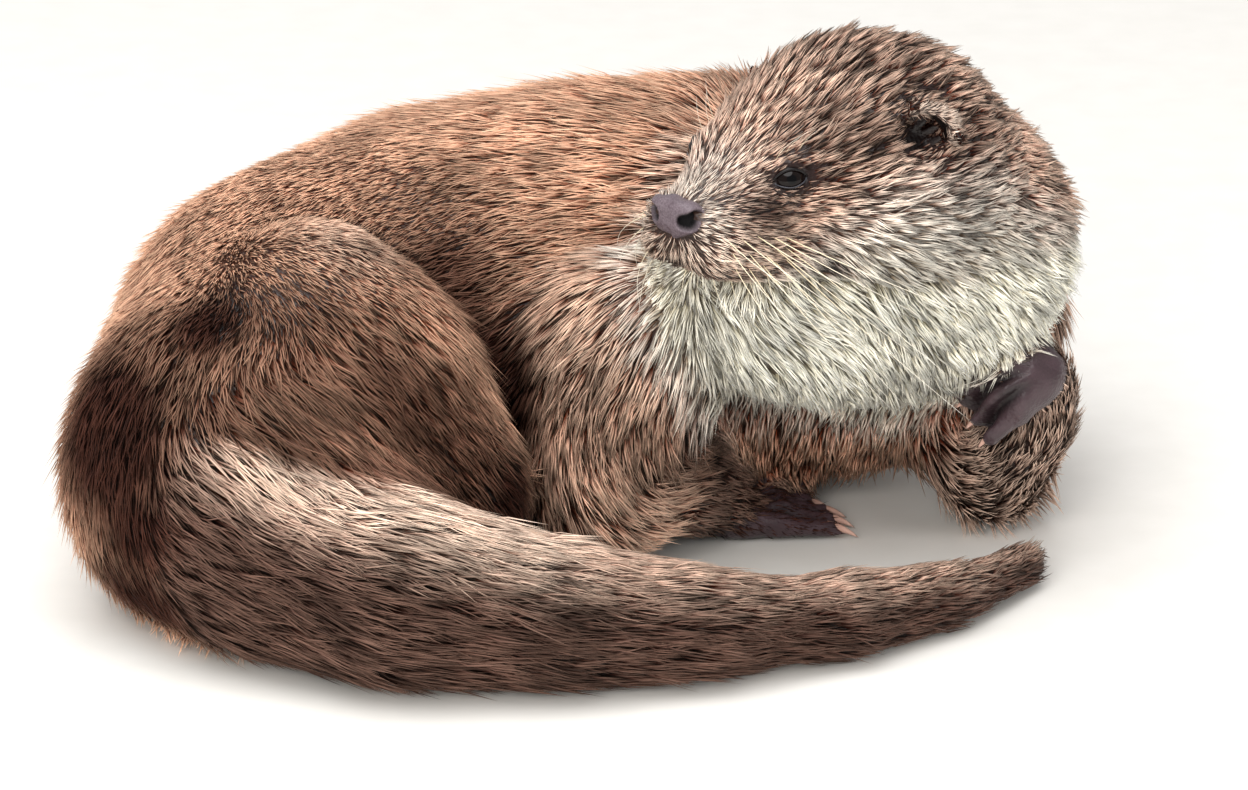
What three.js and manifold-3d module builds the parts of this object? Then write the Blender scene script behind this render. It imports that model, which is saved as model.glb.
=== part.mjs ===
// A Eurasian otter at life size, curled to its right on the floor with its head raised, as a still model.
// It lies on its rump, flank, tail, elbows and feet. The neck folds back over the right side of the chest,
// so that the face looks along the right flank. The outer surface stands for the tips of the coat.
//
// Millimetres. +X runs from the rump to the shoulders, +Y to the far (left) side of the body, +Z up.
// The flesh is a set of rounded bones blended into one another, given as distance fields. Each field is
// polygonised by marching cubes, parted by thin cuts, and made to give way to the pieces beside it.
import * as THREE from "three";
import { edgeTable, triTable } from "three/addons/objects/MarchingCubes.js";
import { mergeVertices } from "three/addons/utils/BufferGeometryUtils.js";
import Module from "manifold-3d";

const wasm = await Module();
wasm.setup();

const point = (x, y, z) => new THREE.Vector3(x, y, z);

// ---------------------------------------------------------------- driving dimensions
const GAP = 0.3; // left between pieces that meet
const CELL = { body: 21, tail: 18, tailEnd: 10.5, root: 18, leg: 13.5, head: 9.3, nose: 5.5 };

// Joints of the flesh: a place and the radius there, over the coat. Everything that lies on the floor
// dips about 2 mm under it, and the floor cuts a small flat.
const RUMP = { at: point(-126, 83, 53), r: 62 };
const SPINE = [
  RUMP,
  { at: point(-106, 160, 61), r: 66 },
  { at: point(-62, 188, 67), r: 70 },
  { at: point(-15, 204, 69), r: 72 },
  { at: point(35, 212, 69), r: 72 },
  { at: point(84, 200, 73), r: 62 },
];
const NECK = { at: point(98.5, 129, 114), r: 55 };
const BREAST = { at: point(66, 110, 106), radii: point(59, 44, 46) };
const TAIL = [
  { at: point(-132, 72, 46), r: 46 },
  { at: point(-116, 42, 37), r: 38.5 },
  { at: point(-75, 14, 33), r: 35 },
  { at: point(-28, 9, 26.5), r: 28.5 },
  { at: point(20, 14, 20.5), r: 22.5 },
  { at: point(65, 32, 15.5), r: 17.5 },
  { at: point(104, 60, 11.5), r: 13.5 },
  { at: point(132, 97, 8), r: 10 },
  { at: point(141, 124, 5), r: 7 },
];
// Legs, each from the trunk to the foot.
const LEGS = {
  hind_right: {
    upper: [
      { at: point(-104, 98, 90), r: 42 },
      { at: point(-86, 92, 74), r: 42 },
      { at: point(-57, 82, 44), r: 30 },
    ],
    lower: [
      { at: point(-56, 84, 30), r: 22 },
      { at: point(-84, 94, 15), r: 14 },
    ],
    foot: { heel: point(-82, 94, 5.6), toward: point(1, -0.22, 0) },
  },
  hind_left: {
    upper: [
      { at: point(-100, 205, 62), r: 52 },
      { at: point(-64, 236, 42), r: 37 },
    ],
    lower: [
      { at: point(-66, 236, 34), r: 24 },
      { at: point(-118, 232, 16), r: 15 },
    ],
    foot: { heel: point(-120, 236, 5.6), toward: point(1, 0.2, 0) },
  },
  fore_right: {
    upper: [
      { at: point(3, 120, 77), r: 38 },
      { at: point(-7, 116, 28.5), r: 30 },
    ],
    lower: [
      { at: point(2, 118, 35), r: 22 },
      { at: point(19, 132, 25), r: 18 },
      { at: point(35, 146, 13), r: 13 },
    ],
  },
  fore_left: {
    upper: [
      { at: point(112, 183, 64), r: 43 },
      { at: point(123, 162, 24), r: 26 },
    ],
    lower: [
      { at: point(124, 158, 20), r: 21 },
      { at: point(135, 136, 46), r: 17 },
      { at: point(140, 119, 69), r: 13 },
    ],
  },
};

// Head frame: x forward to the nose, y to the animal's left, z up, from midway between the eyes.
const HEAD_AT = point(39.7, 63, 163);
const HEAD_TURN = THREE.MathUtils.degToRad(43); // how far the face turns from -X to -Y
const EYE = { x: 0.5, y: 20.2, z: -1.8, r: 5.8 };
const EARS = [
  { name: "left", side: 1, at: point(-43, 39.5, 11) },
  { name: "right", side: -1, at: point(-45, -38, 2) }, // laid back, out of sight from the left
];

// ---------------------------------------------------------------- distance fields
// A field has at(x, y, z), negative inside, and the box that holds its surface.
const field = (at, box) => ({ at, box });

// A bone with round ends, of radius ra at a and rb at b.
function bone(a, b, ra, rb) {
  const d = b.clone().sub(a);
  const length2 = Math.max(d.lengthSq(), 1e-9);
  const box = new THREE.Box3()
    .expandByPoint(a.clone().subScalar(ra))
    .expandByPoint(a.clone().addScalar(ra))
    .expandByPoint(b.clone().subScalar(rb))
    .expandByPoint(b.clone().addScalar(rb));
  return field((x, y, z) => {
    const px = x - a.x;
    const py = y - a.y;
    const pz = z - a.z;
    const t = Math.min(1, Math.max(0, (px * d.x + py * d.y + pz * d.z) / length2));
    return Math.hypot(px - t * d.x, py - t * d.y, pz - t * d.z) - ra - t * (rb - ra);
  }, box);
}

// An ellipsoid with radii along the axes of a frame, about a centre given in that frame.
function egg(frame, centre, radii) {
  const placed = frame.clone().multiply(new THREE.Matrix4().setPosition(centre));
  const [m0, m1, m2, , m4, m5, m6, , m8, m9, m10] = placed.elements;
  const c = point(0, 0, 0).setFromMatrixPosition(placed);
  const reach = Math.max(radii.x, radii.y, radii.z);
  const box = new THREE.Box3(c.clone().subScalar(reach), c.clone().addScalar(reach));
  return field((x, y, z) => {
    const px = x - c.x;
    const py = y - c.y;
    const pz = z - c.z;
    const u = (px * m0 + py * m1 + pz * m2) / radii.x;
    const v = (px * m4 + py * m5 + pz * m6) / radii.y;
    const w = (px * m8 + py * m9 + pz * m10) / radii.z;
    const k0 = Math.hypot(u, v, w);
    const k1 = Math.hypot(u / radii.x, v / radii.y, w / radii.z);
    return k1 > 1e-9 ? (k0 * (k0 - 1)) / k1 : -Math.min(radii.x, radii.y, radii.z);
  }, box);
}

// The union of fields, with a fillet of about k where they meet.
function blend(k, ...parts) {
  const box = new THREE.Box3();
  parts.forEach((part) => box.union(part.box));
  return field((x, y, z) => {
    let d = parts[0].at(x, y, z);
    for (let i = 1; i < parts.length; i++) {
      const e = parts[i].at(x, y, z);
      const h = Math.max(k - Math.abs(d - e), 0) / k;
      d = Math.min(d, e) - (h * h * k) / 4;
    }
    return d;
  }, box);
}

// Rounded bones along a list of joints.
function limb(k, joints) {
  const bones = joints.slice(1).map((joint, i) => bone(joints[i].at, joint.at, joints[i].r, joint.r));
  return blend(k, ...bones);
}

// ---------------------------------------------------------------- solids
// The surface where a field equals swell, as a closed solid, by marching cubes.
function solid(shape, cell, swell = 0, within = shape.box) {
  const low = within.min.clone().divideScalar(cell).floor().subScalar(2).multiplyScalar(cell);
  const n = within.max.clone().addScalar(2 * cell).sub(low).divideScalar(cell).ceil().addScalar(1);
  const index = (i, j, k) => i + n.x * (j + n.y * k);
  const isEdge = (i, j, k) => !i || !j || !k || i === n.x - 1 || j === n.y - 1 || k === n.z - 1;
  const values = new Float32Array(n.x * n.y * n.z);
  for (let k = 0; k < n.z; k++)
    for (let j = 0; j < n.y; j++)
      for (let i = 0; i < n.x; i++)
        values[index(i, j, k)] = isEdge(i, j, k)
          ? cell // closes a surface that runs out of the box
          : shape.at(low.x + i * cell, low.y + j * cell, low.z + k * cell) - swell;

  // Corners and edges of a cell, in the order of the tables.
  const corners = [
    [0, 0, 0], [1, 0, 0], [1, 1, 0], [0, 1, 0],
    [0, 0, 1], [1, 0, 1], [1, 1, 1], [0, 1, 1],
  ];
  const edges = [
    [0, 1], [1, 2], [2, 3], [3, 0], [4, 5], [5, 6], [6, 7], [7, 4], [0, 4], [1, 5], [2, 6], [3, 7],
  ];
  const spread = 0.04; // keeps vertices off the corners, where triangles would vanish
  const vertices = [];
  const triangles = [];
  const known = new Map();
  function vertexOn(from, to) {
    const [a, b] = from < to ? [from, to] : [to, from];
    const key = a * values.length + b;
    if (known.has(key)) return known.get(key);
    const t = Math.min(1 - spread, Math.max(spread, values[a] / (values[a] - values[b])));
    const place = (q) => [q % n.x, Math.floor(q / n.x) % n.y, Math.floor(q / (n.x * n.y))];
    const pa = place(a);
    const pb = place(b);
    const made = vertices.length / 3;
    for (let c = 0; c < 3; c++)
      vertices.push(low.getComponent(c) + cell * (pa[c] + t * (pb[c] - pa[c])));
    known.set(key, made);
    return made;
  }
  for (let k = 0; k < n.z - 1; k++)
    for (let j = 0; j < n.y - 1; j++)
      for (let i = 0; i < n.x - 1; i++) {
        const at = corners.map(([a, b, c]) => index(i + a, j + b, k + c));
        let kind = 0;
        at.forEach((q, bit) => {
          if (values[q] < 0) kind |= 1 << bit;
        });
        if (!edgeTable[kind]) continue;
        for (let t = kind * 16; triTable[t] >= 0; t += 3) {
          const [a, b, c] = [0, 1, 2].map((s) => {
            const [from, to] = edges[triTable[t + s]];
            return vertexOn(at[from], at[to]);
          });
          triangles.push(a, c, b);
        }
      }
  return closed(new Float32Array(vertices), new Uint32Array(triangles));
}

function closed(vertProperties, triVerts) {
  return new wasm.Manifold(new wasm.Mesh({ numProp: 3, vertProperties, triVerts }));
}

// A three.js geometry placed by a matrix, as a solid.
function placed(geometry, matrix) {
  geometry.applyMatrix4(matrix);
  geometry.deleteAttribute("normal");
  geometry.deleteAttribute("uv");
  const merged = mergeVertices(geometry, 1e-4);
  return closed(new Float32Array(merged.attributes.position.array), new Uint32Array(merged.index.array));
}

const moved = (at) => new THREE.Matrix4().setPosition(at);

function ball(at, r, rings = 6) {
  return placed(new THREE.SphereGeometry(r, 2 * rings, rings), moved(at));
}

// The largest body of a solid, without the crumbs a cut can leave.
function largest(made) {
  return made.decompose().sort((a, b) => b.volume() - a.volume())[0];
}

// A cut is a plane given by a point and a normal. Each side loses half the gap.
const cut = (at, normal) => ({ at, normal: normal.clone().normalize() });
const ahead = (made, { at, normal }, gap = GAP / 2) =>
  made.trimByPlane(normal.toArray(), normal.dot(at) + gap);
const behind = (made, { at, normal }) => ahead(made, { at, normal: normal.clone().negate() });
const onFloor = (made) => made.trimByPlane([0, 0, 1], 0);

// ---------------------------------------------------------------- the node list
const materials = {
  coat: { color: 0x6f4f3a, roughness: 0.8 },
  throat: { color: 0xd3ccb4, roughness: 0.8 },
  skin: { color: 0x3b2c28, roughness: 0.55 },
  eye: { color: 0x0c0a0a, roughness: 0.08 },
};
const pieces = []; // in the order they are made; each gives way to those before it

// Takes the swollen form of every earlier piece it meets out of a solid, and adds it to the list.
function addPiece(name, material, made, swollen, ignore = []) {
  const box = made.boundingBox();
  const meets = (other) => {
    const b = other.swollen.boundingBox();
    return [0, 1, 2].every((c) => b.min[c] < box.max[c] && b.max[c] > box.min[c]);
  };
  const inTheWay = new Set(pieces.filter(meets).map((other) => other.swollen));
  inTheWay.delete(swollen);
  pieces.filter((other) => ignore.includes(other.name)).forEach((other) => inTheWay.delete(other.swollen));
  let left = onFloor(made);
  inTheWay.forEach((other) => {
    left = left.subtract(other);
  });
  // A swollen form can miss a sharp fold of the piece it stands for.
  pieces.filter(meets).forEach((other) => {
    if (left.intersect(other.made).volume() > 0) left = left.subtract(other.made);
  });
  pieces.push({ name, material, made: largest(left), swollen });
}

// ---------------------------------------------------------------- the head
const headFrame = new THREE.Matrix4()
  .makeBasis(
    point(-Math.cos(HEAD_TURN), -Math.sin(HEAD_TURN), 0),
    point(Math.sin(HEAD_TURN), -Math.cos(HEAD_TURN), 0),
    point(0, 0, 1),
  )
  .setPosition(HEAD_AT);
const inHead = (x, y, z) => point(x, y, z).applyMatrix4(headFrame);

function headField() {
  const both = (make) => [-1, 1].map(make);
  const cranium = egg(headFrame, point(-50, 0, -6), point(52, 43, 36.5));
  const brow = egg(headFrame, point(-10, 0, -6), point(30, 26, 20));
  const cheeks = both((side) => egg(headFrame, point(-46, 19 * side, -22), point(34, 29, 27)));
  const bridge = bone(inHead(-6, 0, -8), inHead(21, 0, -13.5), 15, 11);
  const lips = both((side) => egg(headFrame, point(15, 10.5 * side, -22.5), point(20, 15, 12.5)));
  const jaw = egg(headFrame, point(-14, 0, -31), point(35, 22, 12));
  return blend(9, blend(14, cranium, brow, ...cheeks), blend(6, bridge, ...lips, jaw));
}

const PLAIN = new THREE.Matrix4();

// Trunk, neck, head and the root of the tail, as one flowing surface.
function bodyField() {
  const trunk = limb(12, SPINE);
  const shoulders = SPINE[SPINE.length - 1];
  const nape = bone(shoulders.at, NECK.at, shoulders.r * 0.97, NECK.r * 0.84);
  const throat = bone(NECK.at, inHead(-50, 3, -16), NECK.r, 44);
  const breast = egg(PLAIN, BREAST.at, BREAST.radii);
  const tailRoot = limb(6, TAIL.slice(0, 2));
  const fore = blend(8, nape, throat);
  return blend(10, blend(22, trunk, fore, tailRoot), breast, headField());
}

const body = bodyField();

// Cuts across the body, each looking toward the head or the tail's tip.
const CUTS = {
  loins: cut(point(-88, 175, 60), point(0.89, 0.45, 0)),
  ribs: cut(point(-20, 202, 60), point(0.98, 0.1, 0)),
  chest: cut(point(30, 210, 60), point(0.92, -0.3, 0)),
  neck: cut(point(94, 152, 88), point(0.1, -0.8, 0.58)),
  head: cut(point(89, 115, 129), point(-0.47, -0.63, 0.62)),
  jaw: cut(point(56, 78, 117), point(-0.25, -0.35, 0.9)),
  tail: cut(point(-120, 47, 40), point(0.5, -0.87, 0)),
};
const back = ({ at, normal }) => cut(at, normal.clone().negate());

// What each piece of the body takes: a block between two corners, trimmed by cuts. Where two blocks
// overlap, the piece listed first has the space.
const SHARES = [
  {
    name: "head",
    cell: CELL.head,
    block: [point(-8, -5, 84), point(160, 150, 225)],
    cuts: [CUTS.head, CUTS.jaw],
  },
  {
    name: "neck",
    material: "throat",
    cell: CELL.body,
    block: [point(-12, 40, 36), point(170, 200, 195)],
    cuts: [CUTS.neck, CUTS.chest],
  },
  {
    name: "chest",
    cell: CELL.body,
    block: [point(-20, 60, -8), point(170, 300, 170)],
    cuts: [CUTS.chest, back(CUTS.neck)],
  },
  {
    name: "ribs",
    cell: CELL.body,
    block: [point(-60, 60, -8), point(80, 300, 150)],
    cuts: [CUTS.ribs, back(CUTS.chest)],
  },
  {
    name: "loins",
    cell: CELL.body,
    block: [point(-140, 60, -8), point(30, 300, 150)],
    cuts: [CUTS.loins, back(CUTS.ribs)],
  },
  {
    name: "rump",
    cell: CELL.body,
    block: [point(-210, 5, -8), point(-40, 300, 150)],
    cuts: [back(CUTS.loins), back(CUTS.tail)],
  },
];

function space({ block: [low, high], cuts }, grow) {
  const size = high.clone().sub(low).addScalar(2 * grow);
  const middle = low.clone().add(high).multiplyScalar(0.5);
  const whole = placed(new THREE.BoxGeometry(size.x, size.y, size.z), moved(middle));
  return cuts.reduce((left, each) => ahead(left, each, -grow), whole);
}

function addBody() {
  const shares = SHARES.map(({ name }) => name);
  const bodySwollen = solid(body, CELL.body, GAP);
  SHARES.forEach((share, i) => {
    const box = new THREE.Box3(...share.block);
    let made = solid(body, share.cell, 0, box).intersect(space(share, -GAP / 2));
    SHARES.slice(0, i).forEach((other) => {
      made = made.subtract(space(other, GAP / 2));
    });
    const isHead = share.name === "head";
    const swollen = isHead ? solid(body, share.cell, GAP, box).intersect(space(share, 0)) : bodySwollen;
    addPiece(share.name, share.material ?? "coat", isHead ? hollowed(made) : made, swollen, shares);
  });
}

// The head with room for the eyes and the nose pad.
function hollowed(head) {
  const left = [-1, 1].reduce((rest, side) => {
    return rest.subtract(ball(inHead(EYE.x, EYE.y * side, EYE.z), EYE.r + GAP));
  }, head);
  return left.subtract(solid(noseField(), CELL.nose, 2 * GAP));
}

function addFace() {
  const trunk = SHARES.map(({ name }) => name).slice(1);
  const inSocket = [...trunk, "head"];
  addPiece("nose_pad", "skin", solid(noseField(), CELL.nose), solid(noseField(), CELL.nose, GAP), inSocket);
  for (const { name, side, at } of EARS) {
    const socket = inHead(EYE.x, EYE.y * side, EYE.z);
    addPiece(`eye_${name}`, "eye", ball(socket, EYE.r), ball(socket, EYE.r + GAP), inSocket);
    addPiece(`ear_${name}`, "coat", ear(at, side, 0), ear(at, side, GAP), trunk);
  }
}

// The bare pad, with a nostril on each side.
function noseField() {
  const pad = egg(headFrame, point(31, 0, -11.8), point(7.2, 13.2, 6.8));
  return blend(2, pad, egg(headFrame, point(31.5, 0, -15), point(6.3, 6.6, 5)));
}

// A small rounded cup, open forward and outward, its lower front sunk in the head.
function ear(at, side, swell) {
  const turn = new THREE.Matrix4().makeRotationFromEuler(
    new THREE.Euler(0, THREE.MathUtils.degToRad(12), THREE.MathUtils.degToRad(38 * side), "ZYX"),
  );
  const frame = headFrame.clone().multiply(moved(at)).multiply(turn);
  const ellipsoid = (x, radii) =>
    placed(
      new THREE.SphereGeometry(1, 10, 6),
      frame.clone().multiply(moved(point(x, 0, 0))).scale(radii.clone().addScalar(swell)),
    );
  const outer = ellipsoid(0, point(6, 10.5, 9.5));
  if (swell > 0) return outer;
  return outer.subtract(ellipsoid(5, point(6.5, 8, 7)));
}

// ---------------------------------------------------------------- the tail
function addTail() {
  const shape = blend(22, bone(SPINE[0].at, SPINE[1].at, SPINE[0].r, SPINE[1].r), limb(6, TAIL));
  const box = new THREE.Box3(point(-186, -32, -6), point(156, 135, 96));
  const swollen = ahead(solid(shape, CELL.tail, GAP, box), CUTS.tail, 0);
  // Cuts square to the tail's own run, at every second joint.
  const across = [3, 5, 7].map((i) => cut(TAIL[i].at, TAIL[i + 1].at.clone().sub(TAIL[i - 1].at)));
  const wholes = [CELL.tail, CELL.tail, CELL.tailEnd, CELL.tailEnd].map((cell) => solid(shape, cell, 0, box));
  const names = wholes.map((whole, i) => `tail_${i + 1}`);
  wholes.forEach((whole, i) => {
    const passed = [CUTS.tail, ...across.slice(0, i)].reduce((left, each) => ahead(left, each), whole);
    const length = i < across.length ? behind(passed, across[i]) : passed;
    addPiece(names[i], "coat", length, swollen, [...names, "rump"]);
  });
}

// ---------------------------------------------------------------- legs and feet
// A foot's frame: x along the toes, y across, z up from the sole.
function footFrame(heel, toward, up = point(0, 0, 1)) {
  const x = toward.clone().normalize();
  const y = up.clone().cross(x).normalize();
  return new THREE.Matrix4().makeBasis(x, y, x.clone().cross(y)).setPosition(heel);
}

// A webbed five-toed foot with claws. curl turns the toes down, from 0 (flat) to 1 (a loose fist).
function foot(frame, { sole, width, toe, r, curl, thick = 1.5 * r }, swell) {
  const on = (x, y, z) => point(x, y, z).applyMatrix4(frame);
  const palmSize = point(sole * 0.5 + 2.4 * r, width * 0.78, thick).addScalar(swell);
  const palm = placed(
    new THREE.SphereGeometry(1, 9, 6),
    frame.clone().multiply(moved(point(sole * 0.5, 0, 0.2 * r))).scale(palmSize),
  );
  const along = (a, b, geometry) => {
    const turn = new THREE.Quaternion().setFromUnitVectors(point(0, 1, 0), b.clone().sub(a).normalize());
    const middle = a.clone().add(b).multiplyScalar(0.5);
    return placed(geometry, new THREE.Matrix4().compose(middle, turn, point(1, 1, 1)));
  };
  let made = palm;
  for (let i = 0; i < 5; i++) {
    const across = (i - 2) / 2; // -1 to 1 over the five toes
    const length = toe * (1 - 0.28 * Math.abs(across) ** 1.5);
    const base = on(sole * (0.8 - 0.2 * across * across), across * width * 0.6, 0);
    const tip = on(
      sole + length * (1 - 0.35 * curl),
      across * width * (1.12 - 0.3 * curl),
      -0.1 * r - length * 0.55 * curl,
    );
    const far = tip.clone().lerp(base, -0.5 * r / base.distanceTo(tip) - swell / 10);
    made = made.add(along(base, far, new THREE.CylinderGeometry(0.8 * r + swell, r + swell, base.distanceTo(far), 5)));
    if (swell > 0) continue;
    const aim = tip.clone().sub(base).normalize().addScaledVector(up(frame), -0.3).normalize();
    const end = tip.clone().addScaledVector(aim, r * (2.3 - 1.3 * curl));
    made = made.add(along(tip, end, new THREE.ConeGeometry(0.45 * r, tip.distanceTo(end), 3)));
  }
  return made;
}

const up = (frame) => new THREE.Vector3().setFromMatrixColumn(frame, 2);

function addLegs() {
  const hind = { sole: 50, width: 20, toe: 27, r: 5.4, curl: 0 };
  const fore = { sole: 20, width: 15, toe: 16, r: 5, curl: 0.1 };
  const right = LEGS.fore_right.lower[2].at;
  const left = LEGS.fore_left.lower[2].at;
  const feet = {
    hind_right: [footFrame(LEGS.hind_right.foot.heel, LEGS.hind_right.foot.toward), hind],
    hind_left: [footFrame(LEGS.hind_left.foot.heel, LEGS.hind_left.foot.toward), hind],
    fore_right: [footFrame(right.clone().setZ(5.2), point(1, 0.45, 0)), fore],
    fore_left: [
      footFrame(left.clone().add(point(-3, -7, 2)), point(-0.95, -0.2, -0.2), point(-0.1, -0.75, 0.65)),
      { ...fore, sole: 14, width: 17, toe: 13, curl: 0.8, thick: 12 },
    ],
  };
  for (const [name, leg] of Object.entries(LEGS)) {
    const [kind, side] = name.split("_");
    const [lower, end] = kind === "hind" ? ["shin", "hind_foot"] : ["forearm", "forepaw"];
    const shape = limb(8, leg.lower);
    addPiece(`${lower}_${side}`, "coat", solid(shape, CELL.leg), solid(shape, CELL.leg, GAP));
    addPiece(`${end}_${side}`, "skin", foot(...feet[name], 0), foot(...feet[name], GAP));
  }
}

function addLegRoots() {
  for (const [name, leg] of Object.entries(LEGS)) {
    const [kind, side] = name.split("_");
    const shape = limb(10, leg.upper);
    const upper = kind === "hind" ? "thigh" : "upper_arm";
    addPiece(`${upper}_${side}`, "coat", solid(shape, CELL.root), solid(shape, CELL.root, GAP));
  }
}

// ---------------------------------------------------------------- assembly
addBody();
addFace();
addLegRoots();
addTail();
addLegs();

// Stands on the floor with the origin under the middle of its box.
const extent = new THREE.Box3();
pieces.forEach(({ made }) => {
  const { min, max } = made.boundingBox();
  extent.expandByPoint(point(...min)).expandByPoint(point(...max));
});
const middle = extent.getCenter(point(0, 0, 0)).setZ(extent.min.z);

const otter = new THREE.Group();
otter.name = "otter";
pieces.forEach(({ name, material, made }) => {
  const mesh = made.translate([-middle.x, -middle.y, -middle.z]).getMesh();
  const geometry = new THREE.BufferGeometry()
    .setAttribute("position", new THREE.BufferAttribute(mesh.vertProperties.slice(), 3))
    .setIndex(new THREE.BufferAttribute(mesh.triVerts.slice(), 1));
  geometry.computeVertexNormals();
  const part = new THREE.Mesh(
    geometry,
    new THREE.MeshStandardMaterial({ ...materials[material], metalness: 0 }),
  );
  part.name = name;
  otter.add(part);
});

export default otter;
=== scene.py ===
"""The curled otter's looks: a bare skin under a coat of solid tufts, eyes, nose pad, claws and whiskers.

Lengths in the shapes are millimetres of the part's own drawing; meshes are written in metres.
"""

import math
from collections import namedtuple

import bmesh
import bpy
import numpy as np
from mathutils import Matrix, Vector
from mathutils.kdtree import KDTree


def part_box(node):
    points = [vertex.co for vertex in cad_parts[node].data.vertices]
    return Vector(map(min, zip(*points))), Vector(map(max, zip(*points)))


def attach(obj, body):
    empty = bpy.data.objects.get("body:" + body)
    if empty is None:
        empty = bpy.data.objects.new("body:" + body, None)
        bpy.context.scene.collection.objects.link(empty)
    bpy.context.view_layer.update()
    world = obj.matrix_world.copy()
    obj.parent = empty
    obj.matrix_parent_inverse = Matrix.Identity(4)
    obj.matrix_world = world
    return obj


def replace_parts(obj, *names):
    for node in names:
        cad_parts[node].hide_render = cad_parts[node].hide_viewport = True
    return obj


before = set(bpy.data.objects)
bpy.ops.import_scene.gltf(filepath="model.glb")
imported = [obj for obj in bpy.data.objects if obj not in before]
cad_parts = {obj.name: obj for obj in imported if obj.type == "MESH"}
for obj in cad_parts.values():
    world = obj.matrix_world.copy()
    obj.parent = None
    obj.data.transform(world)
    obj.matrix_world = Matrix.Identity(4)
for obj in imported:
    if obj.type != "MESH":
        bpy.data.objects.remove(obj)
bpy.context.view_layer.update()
rng = np.random.default_rng(7)
scene = bpy.context.scene

# ---------------------------------------------------------------- the drawing's frame and the head's
MM = 0.001
DRAWN_EYE = np.array([53.11, 47.89, 161.2])  # the left eye's middle in the part's drawing


def box_middle(node):
    """The middle of a CAD node's box, in metres."""
    low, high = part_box(node)
    return (np.array(low) + np.array(high)) / 2


ORIGIN = box_middle("eye_left") - DRAWN_EYE * MM


def to_mm(metres):
    return (np.asarray(metres) - ORIGIN) / MM


def to_metres(mm):
    return np.asarray(mm) * MM + ORIGIN


def unit(v):
    return v / np.maximum(np.linalg.norm(v, axis=-1, keepdims=True), 1e-9)


EYES = {"left": to_mm(box_middle("eye_left")), "right": to_mm(box_middle("eye_right"))}
UP = np.array([0.0, 0.0, 1.0])
LEFTWARD = unit(EYES["left"] - EYES["right"])
FORWARD = np.cross(LEFTWARD, UP)
HEAD_AXES = np.stack([FORWARD, LEFTWARD, UP])
HEAD_AT = (EYES["left"] + EYES["right"]) / 2 - FORWARD * 0.5 + UP * 1.8


def to_head(p):
    """Drawing points in the head's frame: x forward from between the eyes, y to its left, z up."""
    return (p - HEAD_AT) @ HEAD_AXES.T


def from_head(h):
    return np.asarray(h) @ HEAD_AXES + HEAD_AT


def ramp(low, high, x):
    """0 below low, 1 above high, smooth between."""
    t = np.clip((x - low) / (high - low), 0, 1)
    return t * t * (3 - 2 * t)


def near(p, centre, radii):
    """1 at a centre, falling to 0 at about twice the radii away."""
    return np.exp(-(((p - np.asarray(centre)) / np.asarray(radii)) ** 2).sum(-1))


def on_line(p, line):
    """Where each of p is nearest to a line of points: how far off, on which run, and its share of the run."""
    line = np.array(line, float)
    best = np.full(len(p), 1e9)
    run = np.zeros(len(p), int)
    share = np.zeros(len(p))
    for i, (a, b) in enumerate(zip(line[:-1], line[1:])):
        t = np.clip(((p - a) @ (b - a)) / ((b - a) @ (b - a)), 0, 1)
        away = np.linalg.norm(p - a - t[:, None] * (b - a), axis=1)
        closer = away < best
        best[closer] = away[closer]
        run[closer] = i
        share[closer] = t[closer]
    return best, run, share[:, None]


def away_from(p, line):
    """Distance from each of p to a line of points."""
    return on_line(p, line)[0]


def nearest_on(p, line):
    """The nearest place to each of p on a line of points."""
    _, run, t = on_line(p, line)
    return line[run] + t * (line[run + 1] - line[run])


def along_line(p, line):
    """The direction of a line of points at the nearest place to each of p."""
    line = np.array(line, float)
    runs = unit(line[1:] - line[:-1])
    joints = unit(np.vstack([runs[:1], runs[1:] + runs[:-1], runs[-1:]]))
    _, run, t = on_line(p, line)
    return joints[run] * (1 - t) + joints[run + 1] * t


# The near half of the mouth's line, in the head's frame.
LIPS = [(31, 0, -29), (29, 8, -32), (21, 16, -35), (8, 21, -36), (-8, 23, -36), (-20, 25, -33)]


def lip_line(hand):
    return [(x, y * hand, z) for x, y, z in LIPS]


# ---------------------------------------------------------------- the lie of the coat
# Lines that the hair follows.
SPINE = [(40, 63, 163), (75, 96, 160), (104, 132, 122), (84, 200, 85), (35, 214, 80), (-15, 206, 78),
         (-62, 190, 74), (-106, 160, 66), (-128, 88, 60), (-132, 72, 46)]
TAIL = [(-132, 72, 46), (-116, 42, 37), (-75, 14, 33), (-28, 9, 26.5), (20, 14, 20.5), (65, 32, 15.5),
        (104, 60, 11.5), (132, 97, 8), (141, 124, 5)]
BREAST = [(70, 90, 130), (58, 100, 100), (44, 122, 70), (40, 140, 40)]
HIND_RIGHT = [(-118, 112, 100), (-86, 92, 74), (-57, 82, 44), (-50, 84, 30)]
HIND_LEFT = [(-100, 205, 62), (-64, 236, 42), (-66, 236, 34), (-118, 232, 16), (-160, 230, 6)]
FORE_RIGHT = [(40, 125, 120), (3, 120, 77), (-7, 116, 28), (2, 118, 35), (19, 132, 25), (52, 154, 8)]
FORE_LEFT = [(112, 183, 84), (123, 162, 24), (124, 158, 20), (135, 136, 46), (140, 119, 69), (130, 110, 75)]
SHIN_RIGHT = [(-56, 84, 30), (-84, 94, 15), (-30, 82, 6)]


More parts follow.
